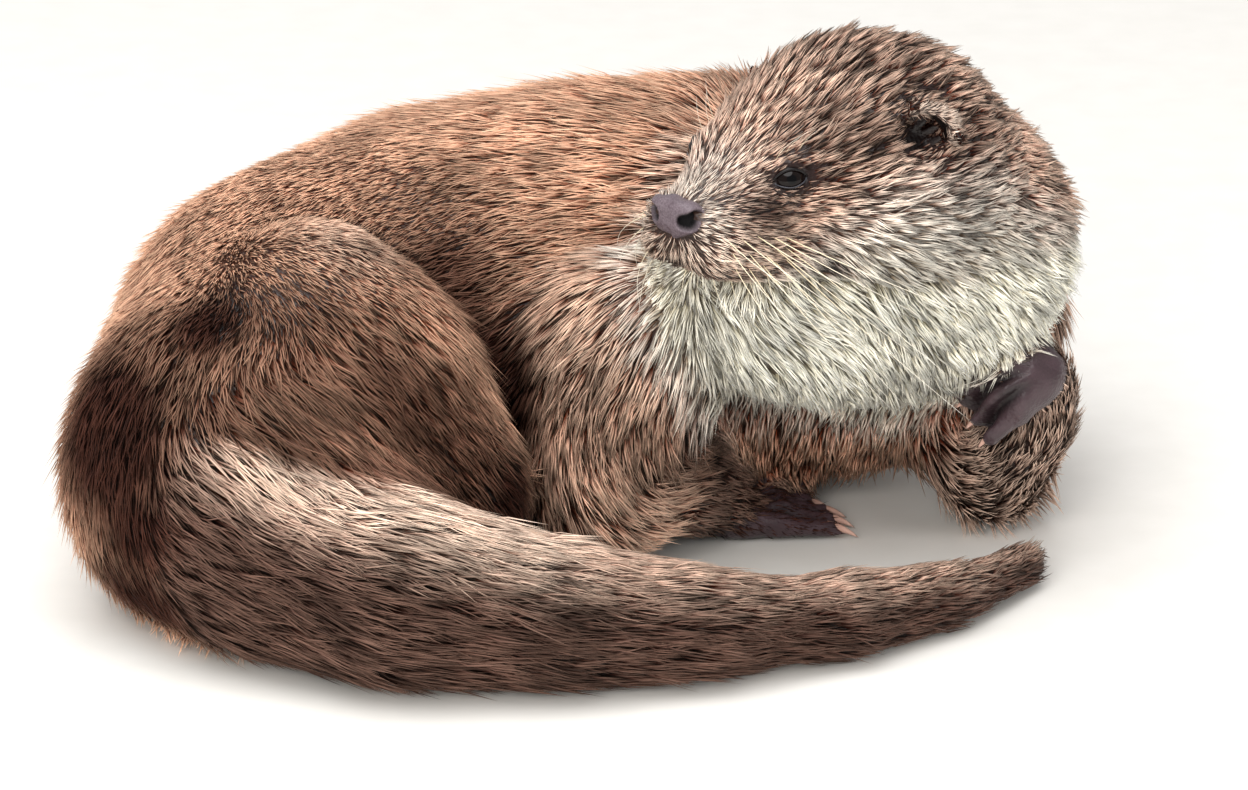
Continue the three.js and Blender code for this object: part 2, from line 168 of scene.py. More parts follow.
# The hair on one part: the line it follows, length and width in mm, tufts to a square centimetre, lift in
# degrees, how deep the skin lies and how far it is smoothed, and how strongly tips gather into locks.
Coat = namedtuple("Coat", "line length width crowd lift depth smooth gather")
BACK_HAIR = (11.0, 0.72, 105, 14, 4.6, 1.0, 0.22)
FAR_HAIR = (12.5, 0.95, 75, 16, 4.2, 0.9, 0.5)
SHIN_HAIR = (7.0, 0.8, 90, 14, 1.8, 0.4, 0.5)
PAW_HAIR = (2.5, 0.45, 60, 12, 0.3, 0.05, 0.2)
COATS = {
    "head": Coat(None, 8.2, 0.58, 142, 14, 2.2, 0.45, 0.9),
    "ear_left": Coat(None, 5.4, 0.42, 760, 8, 0.0, 0.05, 0.2),
    "ear_right": Coat(None, 4.0, 0.42, 480, 10, 0.0, 0.05, 0.3),
    "neck": Coat(SPINE, 10.0, 0.75, 120, 14, 3.6, 0.8, 0.7),
    "chest": Coat(BREAST, 12.0, 0.75, 105, 14, 4.2, 0.8, 0.4),
    "ribs": Coat(SPINE, *BACK_HAIR),
    "loins": Coat(SPINE, *BACK_HAIR),
    "rump": Coat(SPINE, 11.0, 0.72, 105, 15, 4.6, 1.0, 0.25),
    "thigh_right": Coat(HIND_RIGHT, 10.5, 0.7, 115, 15, 4.2, 0.9, 0.38),
    "thigh_left": Coat(HIND_LEFT, *FAR_HAIR),
    "upper_arm_right": Coat(FORE_RIGHT, 11.5, 0.75, 105, 14, 4.2, 0.9, 0.5),
    "upper_arm_left": Coat(FORE_LEFT, *FAR_HAIR),
    "tail_1": Coat(TAIL, 16.0, 0.7, 105, 9, 4.4, 0.9, 0.55),
    "tail_2": Coat(TAIL, 13.0, 0.7, 105, 8, 3.8, 0.7, 0.5),
    "tail_3": Coat(TAIL, 10.0, 0.75, 110, 7, 2.8, 0.5, 0.4),
    "tail_4": Coat(TAIL, 6.0, 0.65, 130, 4, 1.6, 0.3, 0.3),
    "shin_right": Coat(SHIN_RIGHT, *SHIN_HAIR),
    "shin_left": Coat(HIND_LEFT, *SHIN_HAIR),
    "forearm_right": Coat(FORE_RIGHT, 7.0, 0.75, 95, 13, 1.8, 0.4, 0.5),
    "forearm_left": Coat(FORE_LEFT, 9.0, 0.6, 125, 9, 1.8, 0.4, 0.4),
    "hind_foot_right": Coat(SHIN_RIGHT, *PAW_HAIR),
    "hind_foot_left": Coat(HIND_LEFT, *PAW_HAIR),
    "forepaw_right": Coat(FORE_RIGHT, *PAW_HAIR),
    "forepaw_left": Coat(FORE_LEFT, 2.0, 0.4, 0, 12, 0.3, 0.05, 0.2),
}
LENGTH, WIDTH, CROWD, LIFT, DEPTH, SMOOTH, GATHER = range(7)
PARTS = list(COATS)
EARS = ["ear_left", "ear_right"]
PAWS = ["forepaw_left", "forepaw_right", "hind_foot_left", "hind_foot_right"]
TAIL_PARTS = [name for name in PARTS if name.startswith("tail")]
COAT_TABLE = np.array([coat[1:] for coat in COATS.values()])
# In the head's frame.
NOSE_TIP = np.array([33.0, 0.0, -14.0])
NOSE_MIDDLE = (34, 0, -12.5)


def head_flow(p):
    """Hair runs back from the nose, fanning over the brow and the cheeks."""
    h = to_head(p)
    fan = unit(h - NOSE_TIP) * np.array([1, 1, 0.8])
    back = np.array([-1.0, 0, 0.12])
    far = ramp(20, 75, np.linalg.norm(h - NOSE_TIP, axis=1))[:, None]
    way = fan * (1 - far) + (0.45 * fan + back) * far
    cheek = (ramp(5, 45, -h[:, 2]) * ramp(-20, 25, -h[:, 0]))[:, None]
    return way @ HEAD_AXES + cheek * np.array([0.0, 0.0, -0.75])


# ---------------------------------------------------------------- the markings, with painted shade and painted highlights
# Darker and lighter places of the brown coat, many of them painted shade and painted highlights: middle and
# reach in drawing mm, and strength.
DARK_PLACES = [
    # The rump's end: its damp dark fur, and painted shade where it turns from the light.
    ((-172, 42, 84), (38, 54, 42), 1.0),  # the rump's end
    ((-166, 24, 54), (26, 28, 34), 1.0),
    ((-148, 2, 30), (26, 22, 24), 1.0),
    ((-164, 36, 22), (26, 36, 24), 1.0),
    ((-165, 60, 106), (24, 40, 20), 0.75),
    ((-135, 66, 110), (18, 18, 16), 1.0),  # the whorl over the hip
    ((-100, 50, 96), (26, 22, 20), 0.6),  # the thigh
    ((-79, 53, 88), (30, 24, 26), 0.85),
    ((-57, 57, 66), (22, 24, 28), 0.85),
    ((-37, 64, 48), (18, 20, 26), 1.0),
    # Painted shade on the flank behind the thigh.
    ((-53, 122, 98), (24, 30, 28), 0.9),  # the flank behind the thigh
    ((-38, 116, 72), (18, 24, 32), 1.0),
    # Painted shade under the chest, above the right forearm.
    ((26, 104, 46), (20, 20, 20), 0.8),  # above the right forearm
]
LIGHT_PLACES = [
    ((-92, 96, 124), (16, 18, 12), 0.4),  # the thigh's lit ridge
    # A painted highlight on the shoulder.
    ((-11, 92, 92), (24, 24, 26), 0.35),  # the shoulder
]
# Darker places of the face, painted shade about the ear among them, in the head's frame: those of its left
# side, which the right side mirrors.
FACE_PLACES = [
    ((12, 20, -11), (9.5, 9, 6.5), 0.95),  # in front of and below the eye
    ((-20, 34, 8), (15, 12, 7), 0.8),  # the temple, on to the ear
    ((-8, 20, 16), (18, 10, 8), 0.5),  # over the brow
    ((-42, 18, 26), (22, 20, 14), 0.45),  # the crown
    # Painted shadow behind the ear.
    ((-64, 42, 2), (15, 16, 13), 0.5),  # behind the ear
    ((3, 24, -1), (9.5, 8, 4.6), 1.0),  # round the lids
    # Painted shade in the ear's hollow, before the ear.
    ((-37, 42, 8), (8, 7, 8), 1.0),  # before the ear
]
# Creases between masses of flesh, which the coat parts along: a line, its depth and its half width in mm.
FOLDS = [
    ([(-147, 34, 86), (-134, 28, 83), (-119, 23, 80), (-104, 21, 76), (-90, 20, 71), (-72, 12, 68),
      (-50, 9, 61), (-30, 13, 56)], 3.0, 4.5),
    ([(60, 66, 112), (74, 68, 101), (86, 75, 86), (88, 88, 72)], 4.0, 8.0),
]
# The same under the jaw's edge, in the head's frame.
JAW_EDGE = ([(14, -20, -47), (-1, -20, -48), (-3, 2, -47), (-13, 17, -46), (-28, 28, -45)], 6.5, 6.0)


def above_fold(p):
    """How far each of p lies above the crease between the tail and the thigh, as the near side shows it."""
    x, y, z = np.array(FOLDS[0][0], float).T
    return 0.34 * (p[:, 1] - np.interp(p[:, 0], x, y)) + 0.94 * (p[:, 2] - np.interp(p[:, 0], x, z))


def strongest(p, places, full=1.0):
    """The strongest of some places at each of p. Full above 1 widens the part at a place's whole strength."""
    found = np.zeros(len(p))
    for middle, reach, strength in places:
        found = np.maximum(found, strength * np.minimum(1, full * near(p, middle, reach)))
    return found


def pale_at(p, h, of, on_head):
    """The cream of the cheeks and the throat, the bib on the breast, the pale hair beside the nostrils, a
    painted highlight along the bridge, and painted shade under the cheek.
    """
    x, y, z = h.T
    # On the head and neck it runs below a line from the lip past the ear to the shoulder.
    edge = np.interp(-x, [-40, -20, -6, 6, 20, 40, 70, 105, 130], [-50, -48, -38, -20, -8, -5, -12, -34, -60])
    cream = ramp(-9, 12, edge - z) * ramp(-26, 6, -x)
    cream = cream * (0.55 + 0.43 * ramp(6, 30, edge - z))
    # Painted shade on the cheek's underside.
    cream = cream * (1 - 0.3 * near(h, (-48, 40, -38), (24, 22, 14)))  # the cheek's underside
    cream = np.maximum(cream, ramp(-41, -45, z))  # under the jaw
    bib_left = np.interp(p[:, 2], [40, 60, 80, 95, 120], [36, 30, 20, 10, 4])
    bib = ramp(-10, 9, p[:, 0] - bib_left) * ramp(-6, 10, 142 - p[:, 1])
    bib *= ramp(-8, 6, p[:, 2] - 40) * ramp(-6, 12, 108 - p[:, 0])
    trunk = of["neck"] | of["chest"] | of["upper_arm_right"]
    near_side = of["neck"] * ramp(-70, -50, y)
    pale = np.where(on_head, cream, np.where(trunk, np.maximum(cream * near_side, bib), 0))
    pale = np.maximum(pale, 0.55 * near(h, (28, 0, -12), (5, 17, 9)) * on_head)  # beside the nostrils
    # A painted highlight along the top of the bridge.
    return np.maximum(pale, 0.4 * near(h, (21, 0, -1), (14, 12, 7)) * on_head)  # along the bridge


def shades_of_body(p, of):
    """The body's dark and light places, many of them painted shade and painted highlights, and 1 on the thigh
    over the tail's edge.
    """
    dark = strongest(p, DARK_PLACES, 1.35)
    light = strongest(p, LIGHT_PLACES, 1.5)
    rise = above_fold(p)
    here = ramp(-160, -140, p[:, 0]) * ramp(-10, -40, p[:, 0]) * ramp(90, 70, p[:, 1])
    # Painted light and shade: the tail is pale along its top, where the light falls, and dark underneath.
    axis_high = np.interp(p[:, 0], [q[0] for q in TAIL], [q[2] for q in TAIL])
    above = (p[:, 2] - axis_high) / axis_high
    on_tail = np.max([of[name] for name in TAIL_PARTS], 0)
    dark = np.where(on_tail, np.maximum(0.9 * ramp(1.05, 0.25, above), dark * ramp(1.1, 0.6, above)), dark)
    # Its edge along the thigh is lit, a painted highlight, and the thigh above that edge is darker, most of
    # all in painted shade beside the crease.
    over = here * ramp(-1, 3, rise)
    dark = np.maximum(dark, (0.7 + 0.15 * ramp(14, 4, rise)) * over * ramp(70, 40, rise))
    band = ramp(-154, -118, p[:, 0]) * here * ramp(-30, -8, rise) * ramp(2, -2, rise)
    return dark, np.maximum(light, 0.72 * band), over


def markings_and_shading(p, part):
    """What colours the coat at each of p: pale, warm, dark (with painted shade) and tan (with painted
    highlights), from 0 to 1.

    Skin and coat both take it. part is the index of the nearest CAD node in PARTS.
    """
    h = to_head(p)
    of = {name: part == i for i, name in enumerate(PARTS)}

    def on(*names):
        return np.any([of[name] for name in names], 0)

    on_head = on("head", *EARS)
    pale = pale_at(p, h, of, on_head)
    dark, light, over = shades_of_body(p, of)
    warm = np.where(on("ribs", "loins", "chest", "rump", "thigh_right", "thigh_left"), 1.0, 0.35)
    warm = np.where(on_head | of["neck"], 0.4, warm)
    warm = np.where(of["upper_arm_right"], 0.8, warm)
    warm = np.maximum(warm, over)

    dark = np.where(on_head | of["neck"], 0, dark * (1 - light))
    for hand in (1, -1):
        face = strongest(h * (1, hand, 1), FACE_PLACES)
        # Dark along the mouth's line: the dark lips, and painted shade under the muzzle's edge, where the
        # cream gives way.
        lip = ramp(6.5, 2.5, away_from(h, lip_line(hand)))
        pale = pale * (1 - 0.9 * lip * on_head)
        dark = np.where(on_head, np.maximum(dark, np.maximum(face, lip)), dark)
    # Painted shade on the chin, under the muzzle.
    dark += 0.8 * near(h, (20, 0, -39), (20, 18, 5)) * on_head  # the chin
    dark = np.where(on(*PAWS), 1.0, dark)
    dark = np.where(on("forearm_right", "shin_right", "shin_left"), 0.8, dark)
    dark = np.where(on("forearm_left", "upper_arm_left"), 0.45, dark)

    for side in EYES:
        ear = Ear(side)
        on_ear = of[f"ear_{side}"]
        # The rim gets a painted highlight; the cup's inner wall is its dark bare skin deepened by painted
        # shade, and the head within the cup gets painted shade.
        rim = ear.rim(p) * (1 - ear.inside(p))
        dark = np.where(on_ear, ear.inside(p), np.maximum(dark, ear.cup(p) * on_head))
        light = np.where(on_ear, 0.75 * rim, light)
        pale = np.where(on_ear, 0.08 * rim, pale)

    # Tan on the muzzle and under the cheek's edge.
    tan = on_head * ramp(-8, 14, h[:, 0]) * ramp(4, 22, -h[:, 2]) * 0.85
    tan = np.maximum(tan, 0.75 * on_head * ramp(14, 30, h[:, 0]))
    tan += 0.15 * of["upper_arm_right"] + 0.1 * of["chest"] + 0.3 * of["forearm_left"]
    # The fourth channel holds the tan and the painted highlights.
    return np.clip(np.stack([pale, warm, dark, np.maximum(tan, light)], 1), 0, 1)


# ---------------------------------------------------------------- making meshes
def new_object(name, mesh, finish=None):
    made = bpy.data.objects.new(name, mesh)
    scene.collection.objects.link(made)
    if finish:
        mesh.materials.append(finish)
    return made


def new_piece(name, mesh, finish):
    """A visible piece on the part's one body."""
    piece = new_object(name, mesh, finish)
    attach(piece, "root")
    return piece


def mesh_of(name, verts, faces):
    """A mesh from drawing points and equal-length faces."""
    verts = to_metres(verts)
    faces = np.asarray(faces, np.int32)
    mesh = bpy.data.meshes.new(name)
    mesh.vertices.add(len(verts))
    mesh.vertices.foreach_set("co", verts.astype(np.float32).ravel())
    mesh.loops.add(faces.size)
    mesh.loops.foreach_set("vertex_index", faces.ravel())
    mesh.polygons.add(len(faces))
    mesh.polygons.foreach_set("loop_start", np.arange(0, faces.size, faces.shape[1], dtype=np.int32))
    mesh.update(calc_edges=True)
    shade_smooth(mesh)
    return mesh


def shade_smooth(mesh):
    mesh.polygons.foreach_set("use_smooth", np.ones(len(mesh.polygons), bool))


def read(items, key, wide, kind=np.float32):
    """One property of a mesh's items, a row to each."""
    flat = np.empty(len(items) * wide, kind)
    items.foreach_get(key, flat)
    return flat.reshape(-1, wide)


def points_of(mesh):
    return to_mm(read(mesh.vertices, "co", 3).astype(float))


def edges_of(mesh):
    return read(mesh.edges, "vertices", 2, np.int32)


def normals_of(mesh):
    return read(mesh.vertex_normals, "vector", 3).astype(float)


def put_points(mesh, p):
    mesh.vertices.foreach_set("co", to_metres(p).astype(np.float32).ravel())
    mesh.update()


def on_parts(part, names):
    """Which of the indices in PARTS are among some names."""
    return np.isin(part, [PARTS.index(name) for name in names])


def settle(values, edges, rounds, share=0.5):
    """Values at the vertices, each drawn towards its neighbours' mean, round after round."""
    values = np.array(values, float)
    count = len(values)
    degree = np.bincount(edges.ravel(), minlength=count)[:, None]
    share = np.reshape(share, (-1, 1)) if np.ndim(share) else share
    for _ in range(rounds):
        total = np.zeros_like(values)
        for k in range(values.shape[1]):
            total[:, k] += np.bincount(edges[:, 0], values[edges[:, 1], k], count)
            total[:, k] += np.bincount(edges[:, 1], values[edges[:, 0], k], count)
        values += (total / np.maximum(degree, 1) - values) * share
    return values


def put_attribute(mesh, name, kind, values):
    made = mesh.attributes.new(name, kind, "POINT")
    key = "color" if kind == "FLOAT_COLOR" else "value"
    made.data.foreach_set(key, np.asarray(values, np.float32).ravel())


# ---------------------------------------------------------------- the skin
# Voxels in mm. The skin's keeps it under the most triangles that a piece may have.
SKIN_VOXEL = 2.4
EAR_VOXEL = 0.8
NOSE_VOXEL = 0.55
SWELL = 0.7  # closes the gaps between the solids before they are joined
LID_GAP = 0.35
LEAST_HEIGHT = 0.4  # of the skin over the floor
CUP_DEPTH = 5.0  # how far the side of the head sinks within an ear's cup
SPOT_AREA = 6  # square mm of a solid's surface to each spot that stands for it
FINE_ROUND_EAR = 16  # how far round an ear the skin is made finer


def voxel_cover(nodes, voxel, swell):
    """One even surface over copies of CAD nodes, each merged and grown along its normals by swell."""
    whole = bmesh.new()
    for node in nodes:
        grown = bmesh.new()
        grown.from_mesh(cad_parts[node].data)
        bmesh.ops.remove_doubles(grown, verts=grown.verts, dist=1e-6)
        grown.normal_update()
        for vert in grown.verts:
            vert.co += vert.normal * swell * MM
        mesh = bpy.data.meshes.new("part")
        grown.to_mesh(mesh)
        grown.free()
        whole.from_mesh(mesh)
        bpy.data.meshes.remove(mesh)
    mesh = bpy.data.meshes.new("whole")
    whole.to_mesh(mesh)
    whole.free()
    held = new_object("whole", mesh)
    cover = held.modifiers.new("cover", "REMESH")
    cover.mode = "VOXEL"
    cover.voxel_size = voxel * MM
    evaluated = held.evaluated_get(bpy.context.evaluated_depsgraph_get())
    made = bpy.data.meshes.new_from_object(evaluated)
    bpy.data.objects.remove(held)
    return made


def with_ears(skin):
    """The skin with the finer shells of the ears let into it."""
    whole = bmesh.new()
    whole.from_mesh(skin)
    for ear in EARS:
        shell = voxel_cover([ear], EAR_VOXEL, 0)
        put_points(shell, settle(points_of(shell), edges_of(shell), 5, 0.4))
        whole.from_mesh(shell)
    whole.to_mesh(skin)
    whole.free()


class Ear:
    """An ear's own frame: x out of its cup, y along its width, z up its height, as the solid has it."""

    def __init__(self, side):
        hand = 1 if side == "left" else -1
        turn, nod = math.radians(38 * hand), math.radians(12)
        (cz, sz), (cy, sy) = [(math.cos(angle), math.sin(angle)) for angle in (turn, nod)]
        about_z = np.array([[cz, -sz, 0], [sz, cz, 0], [0, 0, 1]])
        about_y = np.array([[cy, 0, sy], [0, 1, 0], [-sy, 0, cy]])
        self.turned = about_z @ about_y
        self.at = np.array({"left": (-43, 39.5, 11), "right": (-45, -38, 2)}[side])

    def local(self, p):
        return (to_head(p) - self.at) @ self.turned

    def distance(self, p):
        return np.linalg.norm(self.local(p), axis=1)

    def inside(self, p):
        """1 on the cup's inner wall, 0 outside it."""
        q = self.local(p)
        deep = np.linalg.norm((q - np.array([5, 0, 0])) / np.array([6.5, 8, 7]), axis=1)
        return ramp(1.22, 1.02, deep) * ramp(3.6, 2.0, q[:, 0])

    def cup(self, p):
        """1 for whatever lies in the cup's hollow, such as the side of the head."""
        q = self.local(p)
        deep = np.linalg.norm((q - np.array([4, 0, -1])) / np.array([8, 8.5, 8]), axis=1)
        return ramp(1.35, 1.0, deep)

    def rim(self, p):
        """1 along the cup's edge."""
        return ramp(0.2, 1.8, self.local(p)[:, 0]) * ramp(16, 11.5, self.distance(p))


def tree_of(points):
    tree = KDTree(len(points))
    for i, point in enumerate(points):
        tree.insert(point, i)
    tree.balance()
    return tree


def part_at(p):
    """The index in PARTS of the CAD node nearest to each of p."""
    spots = []
    owners = []
    for i, node in enumerate(PARTS):
        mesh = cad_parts[node].data
        mesh.calc_loop_triangles()
        corners = np.array([[mesh.vertices[v].co for v in t.vertices] for t in mesh.loop_triangles])
        areas = np.array([t.area for t in mesh.loop_triangles]) / MM**2
        take = rng.choice(len(areas), int(areas.sum() / SPOT_AREA), p=areas / areas.sum())
        a, b = np.sort(rng.random((2, len(take))), axis=0)
        share = np.stack([a, b - a, 1 - b], 1)
        spots.append(to_mm((corners[take] * share[:, :, None]).sum(1)))
        owners.append(np.full(len(take), i))
    owners = np.concatenate(owners)
    tree = tree_of(np.concatenate(spots))
    return np.array([owners[tree.find(q)[1]] for q in p])


def refine(mesh, wanted):
    """Splits the edges whose two ends are wanted, so that small forms can be moved there."""
    fine = bmesh.new()
    fine.from_mesh(mesh)
    fine.verts.ensure_lookup_table()
    chosen = [e for e in fine.edges if wanted[e.verts[0].index] and wanted[e.verts[1].index]]
    bmesh.ops.subdivide_edges(fine, edges=chosen, cuts=1, use_grid_fill=True)
    bmesh.ops.triangulate(fine, faces=[f for f in fine.faces if len(f.verts) > 4])
    fine.to_mesh(mesh)
    fine.free()


class Eye:
    """An eye's place and its slit's frame: out of the eye, along the slit to the inner corner, and up."""

    RADIUS = 5.8
    HALF_LONG = 5.6
    HALF_HIGH = 3.3
    LOWER = 0.8  # the lower lid's height against the upper's
    SUNK = 0.9

    def __init__(self, side):
        hand = 1 if side == "left" else -1
        out = unit(np.array([0.50, 0.80 * hand, 0.28]))
        inward = np.array([0.87, -0.51 * hand, -0.09])
        inward = unit(inward - out * (inward @ out))
        rise = np.cross(out, inward) * hand
        rise = rise if rise[2] > 0 else -rise
        self.axes = np.stack([out, inward, rise]) @ HEAD_AXES
        self.at = EYES[side] - self.axes[0] * self.SUNK

    def local(self, p):
        return (p - self.at) @ self.axes.T

    def placed(self, q):
        return np.asarray(q) @ self.axes + self.at

    def slit(self, q):
        """Below 1 inside the almond between the lids, above 1 outside."""
        along = q[:, 1] / self.HALF_LONG
        high = np.where(q[:, 2] > 0, self.HALF_HIGH, self.HALF_HIGH * self.LOWER)
        # Pointed at the corners, fuller towards the middle.
        return np.abs(along) ** 1.7 + np.abs(q[:, 2] / high) ** 1.6


def rounded(line):
    """A line of points with its corners cut off, three times over."""
    line = np.array(line, float)
    for _ in range(3):
        cut = np.stack([0.75 * line[:-1] + 0.25 * line[1:], 0.25 * line[:-1] + 0.75 * line[1:]], 1)
        line = np.vstack([line[:1], cut.reshape(-1, 3), line[-1:]])
    return line


def round_tail(p, part, edges):
    """Evens out the tail's girth and draws its end to a point."""
    share = settle(on_parts(part, TAIL_PARTS)[:, None], edges, 10)
    axis = nearest_on(p, rounded(TAIL))
    girth = settle(np.linalg.norm(p - axis, axis=1, keepdims=True), edges, 60, 0.6)
    from_end = np.linalg.norm(p - np.array(TAIL[-1], float), axis=1)[:, None]
    girth = girth * (0.4 + 0.6 * ramp(0, 32, from_end))
    return p + (axis + unit(p - axis) * girth - p) * share


def plump_muzzle(p, normal):
    """Brings the flesh up round the nose pad, fills the whisker pads, and raises the brows."""
    h = to_head(p)
    full = np.zeros(len(p))
    for hand in (1, -1):
        full += 2.8 * near(h, (28, 13 * hand, -12), (7, 5, 6))
        full += 2.6 * near(h, (28, 9 * hand, -22), (8, 8, 6))
        full += 1.8 * near(h, (7, 15 * hand, 5), (8, 5, 6))
    full += 1.8 * near(h, (24, 0, -4), (7, 12, 5))
    hang = 2.2 * np.maximum(near(h, (26, 8, -28), (9, 8, 6)), near(h, (26, -8, -28), (9, 8, 6)))
    return p + normal * full[:, None] - UP * hang[:, None]


def shape_face(p, normal):
    """Moves the skin for the mouth's crease and the lids."""
    h = to_head(p)
    for hand in (1, -1):
        crease = np.exp(-((away_from(h, lip_line(hand)) / 1.7) ** 2))
        p = p - normal * (1.9 * crease)[:, None]
    for side in EYES:
        eye = Eye(side)
        q = eye.local(p)
        reach = np.linalg.norm(q, axis=1)
        facing = (q[:, 0] > 0) & (reach < 14)
        s = eye.slit(q)
        way = unit(q)
        lid = eye.RADIUS + LID_GAP + 0.9 * ramp(1.0, 1.6, s)
        blend = 1 - ramp(6.0, 11.5, np.hypot(q[:, 1], q[:, 2]))
        target = np.where(s < 1, eye.RADIUS - 1.6, lid)
        moved = way * (reach + (target - reach) * blend)[:, None]
        p = np.where(facing[:, None], eye.placed(moved), p)
    return p


def press_folds(p, normal):
    """Sinks the skin along the creases between masses of flesh."""
    for fold, deep, reach in FOLDS:
        sunk = deep * np.exp(-((away_from(p, fold) / reach) ** 2))
        p = p - normal * sunk[:, None]
    edge, deep, reach = JAW_EDGE
    sunk = deep * np.exp(-((away_from(to_head(p), edge) / reach) ** 2))
    return p - normal * sunk[:, None]


# Each foot's heel, way forward and way up, the sole's length and half width, the toes' length and thickness,
# and how far they are curled in.
Foot = namedtuple("Foot", "heel toward up sole width toe r curl")
TOES = (-1, -0.5, 0, 0.5, 1)  # their places across a foot
FEET = {
    "hind_right": Foot((-82, 94, 5.6), (1, -0.22, 0), (0, 0, 1), 50, 20, 27, 5.4, 0),
    "hind_left": Foot((-120, 236, 5.6), (1, 0.2, 0), (0, 0, 1), 50, 20, 27, 5.4, 0),
    "fore_right": Foot((35, 146, 5.2), (1, 0.45, 0), (0, 0, 1), 20, 15, 16, 5, 0.1),
    "fore_left": Foot((137, 112, 71), (-0.95, -0.2, -0.2), (-0.1, -0.75, 0.65), 14, 17, 13, 5, 0.8),
}


def foot_axes(foot):
    """A foot's frame: forward along the sole, across it, and up."""
    x = unit(np.array(foot.toward, float))
    y = unit(np.cross(np.array(foot.up, float), x))
    return np.stack([x, y, np.cross(x, y)])


def in_foot(p, foot):
    """Points in a foot's frame."""
    return (p - np.array(foot.heel, float)) @ foot_axes(foot).T


def toe_ends(foot, a):
    """The base and the tip of the toe at a, from -1 to 1 across a foot, in the foot's frame."""
    length = foot.toe * (1 - 0.28 * abs(a) ** 1.5)
    base = np.array([foot.sole * (0.8 - 0.2 * a * a), a * foot.width * 0.6, 0])
    tip = np.array([foot.sole + length * (1 - 0.35 * foot.curl), a * foot.width * (1.12 - 0.3 * foot.curl),
                    -0.1 * foot.r - length * 0.55 * foot.curl])
    return base, tip


def toe_gaps(q, foot):
    """For points in a foot's frame: 1 between the toes, and 1 on their backs, both seen from above."""
    level = np.array([1, 1, 0])
    flat = q * level
    upper = ramp(-3 - 10 * foot.curl, 2 - 8 * foot.curl, q[:, 2]) * (np.linalg.norm(q, axis=1) < 100)
    gap = np.zeros(len(q))
    back = np.zeros(len(q))
    for a in (-0.75, -0.25, 0.25, 0.75):
        base, tip = toe_ends(foot, a)
        trough = [base * (0.4, 0.8, 0), base * level, (tip + 0.4 * (tip - base)) * level]
        gap = np.maximum(gap, np.exp(-((away_from(flat, trough) / 1.9) ** 2)))
    for a in TOES:
        base, tip = toe_ends(foot, a)
        back = np.maximum(back, near(flat, base * (1.2, 1.2, 0), (4.2, 2.6, 9)))
        along_toe = np.exp(-((away_from(flat, [base * level, tip * level]) / 2.6) ** 2))
        back = np.maximum(back, foot.curl * along_toe)
    return gap * ramp(foot.sole * 0.1, foot.sole * 0.9, q[:, 0]) * upper, back * upper


def part_toes(p, normal, on_paw):
    """Sinks the skin between the toes, draws it back between their ends, and raises the knuckles."""
    for foot in FEET.values():
        q = in_foot(p, foot)
        gap, back = toe_gaps(q, foot)
        ends = gap * ramp(foot.sole + 0.2 * foot.toe, foot.sole + 0.7 * foot.toe, q[:, 0])
        plump = foot.curl * near(q, (foot.sole * 0.5, 0, foot.r * 1.5), (11, 11, 9))
        rise = 1.6 * back - 2.6 * gap + 2.0 * plump
        p = p + (normal * rise[:, None] - foot_axes(foot)[0] * (3.0 * ends)[:, None]) * on_paw[:, None]
    return p


def tuck_under_nose(p):
    """Sinks the skin under the nose pad, which is a piece of its own."""
    inside = near(to_head(p), NOSE_MIDDLE, (5, 8.5, 5))
    return p - inside[:, None] * 2.4 * FORWARD


def rough_skin():
    """An even surface over the flesh, evened out, and finer where there are small forms."""
    fillings = ["eye_left", "eye_right", "nose_pad"]
    mesh = voxel_cover([node for node in PARTS if node not in EARS] + fillings, SKIN_VOXEL, SWELL)
    p = points_of(mesh)
    part = part_at(p)
    edges = edges_of(mesh)
    smooth = settle(COAT_TABLE[part][:, [SMOOTH]], edges, 6)
    h = to_head(p)
    face = (h[:, 0] > -14) & (h[:, 2] > -50) & (np.abs(h[:, 1]) < 34) & (h[:, 2] < 22)
    p = round_tail(settle(p, edges, 22, 0.6 * smooth), part, edges)
    put_points(mesh, p)
    ears = np.min([Ear(side).distance(p) for side in EYES], 0) < FINE_ROUND_EAR
    refine(mesh, face | on_parts(part, PAWS) | ears)
    put_points(mesh, settle(points_of(mesh), edges_of(mesh), 2, 0.3))
    with_ears(mesh)
    return mesh


def coat_values(p, part, edges, normal):
    """The coat's values at every vertex: the parts' own, blended, and finer on the face and the ears."""
    values = settle(COAT_TABLE[part], edges, 10)
    h = to_head(p)
    muzzle = ramp(-25, 25, h[:, 0]) * ramp(-60, -45, h[:, 2])
    for column, change in ((LENGTH, -0.55), (WIDTH, -0.3), (CROWD, 0.7), (DEPTH, -0.35), (GATHER, -0.65)):
        values[:, column] *= 1 + change * muzzle
    for side in EYES:
        values[:, LENGTH] *= 1 - 0.5 * ramp(15, 7, np.linalg.norm(p - EYES[side], axis=1))
        values[:, LENGTH] *= 1 - 0.5 * ramp(22, 14, Ear(side).distance(p))
    for hand in (1, -1):
        values[:, LENGTH] *= 1 - 0.45 * ramp(6, 2.5, away_from(h, lip_line(hand)))
    # The far side and the underside carry fewer, broader hairs.
    turned = np.maximum(ramp(0, 0.5, normal[:, 1]), ramp(-0.2, -0.6, normal[:, 2]))
    values[:, CROWD] *= 1 - 0.36 * turned
    values[:, WIDTH] *= 1 + 0.22 * turned
    return values


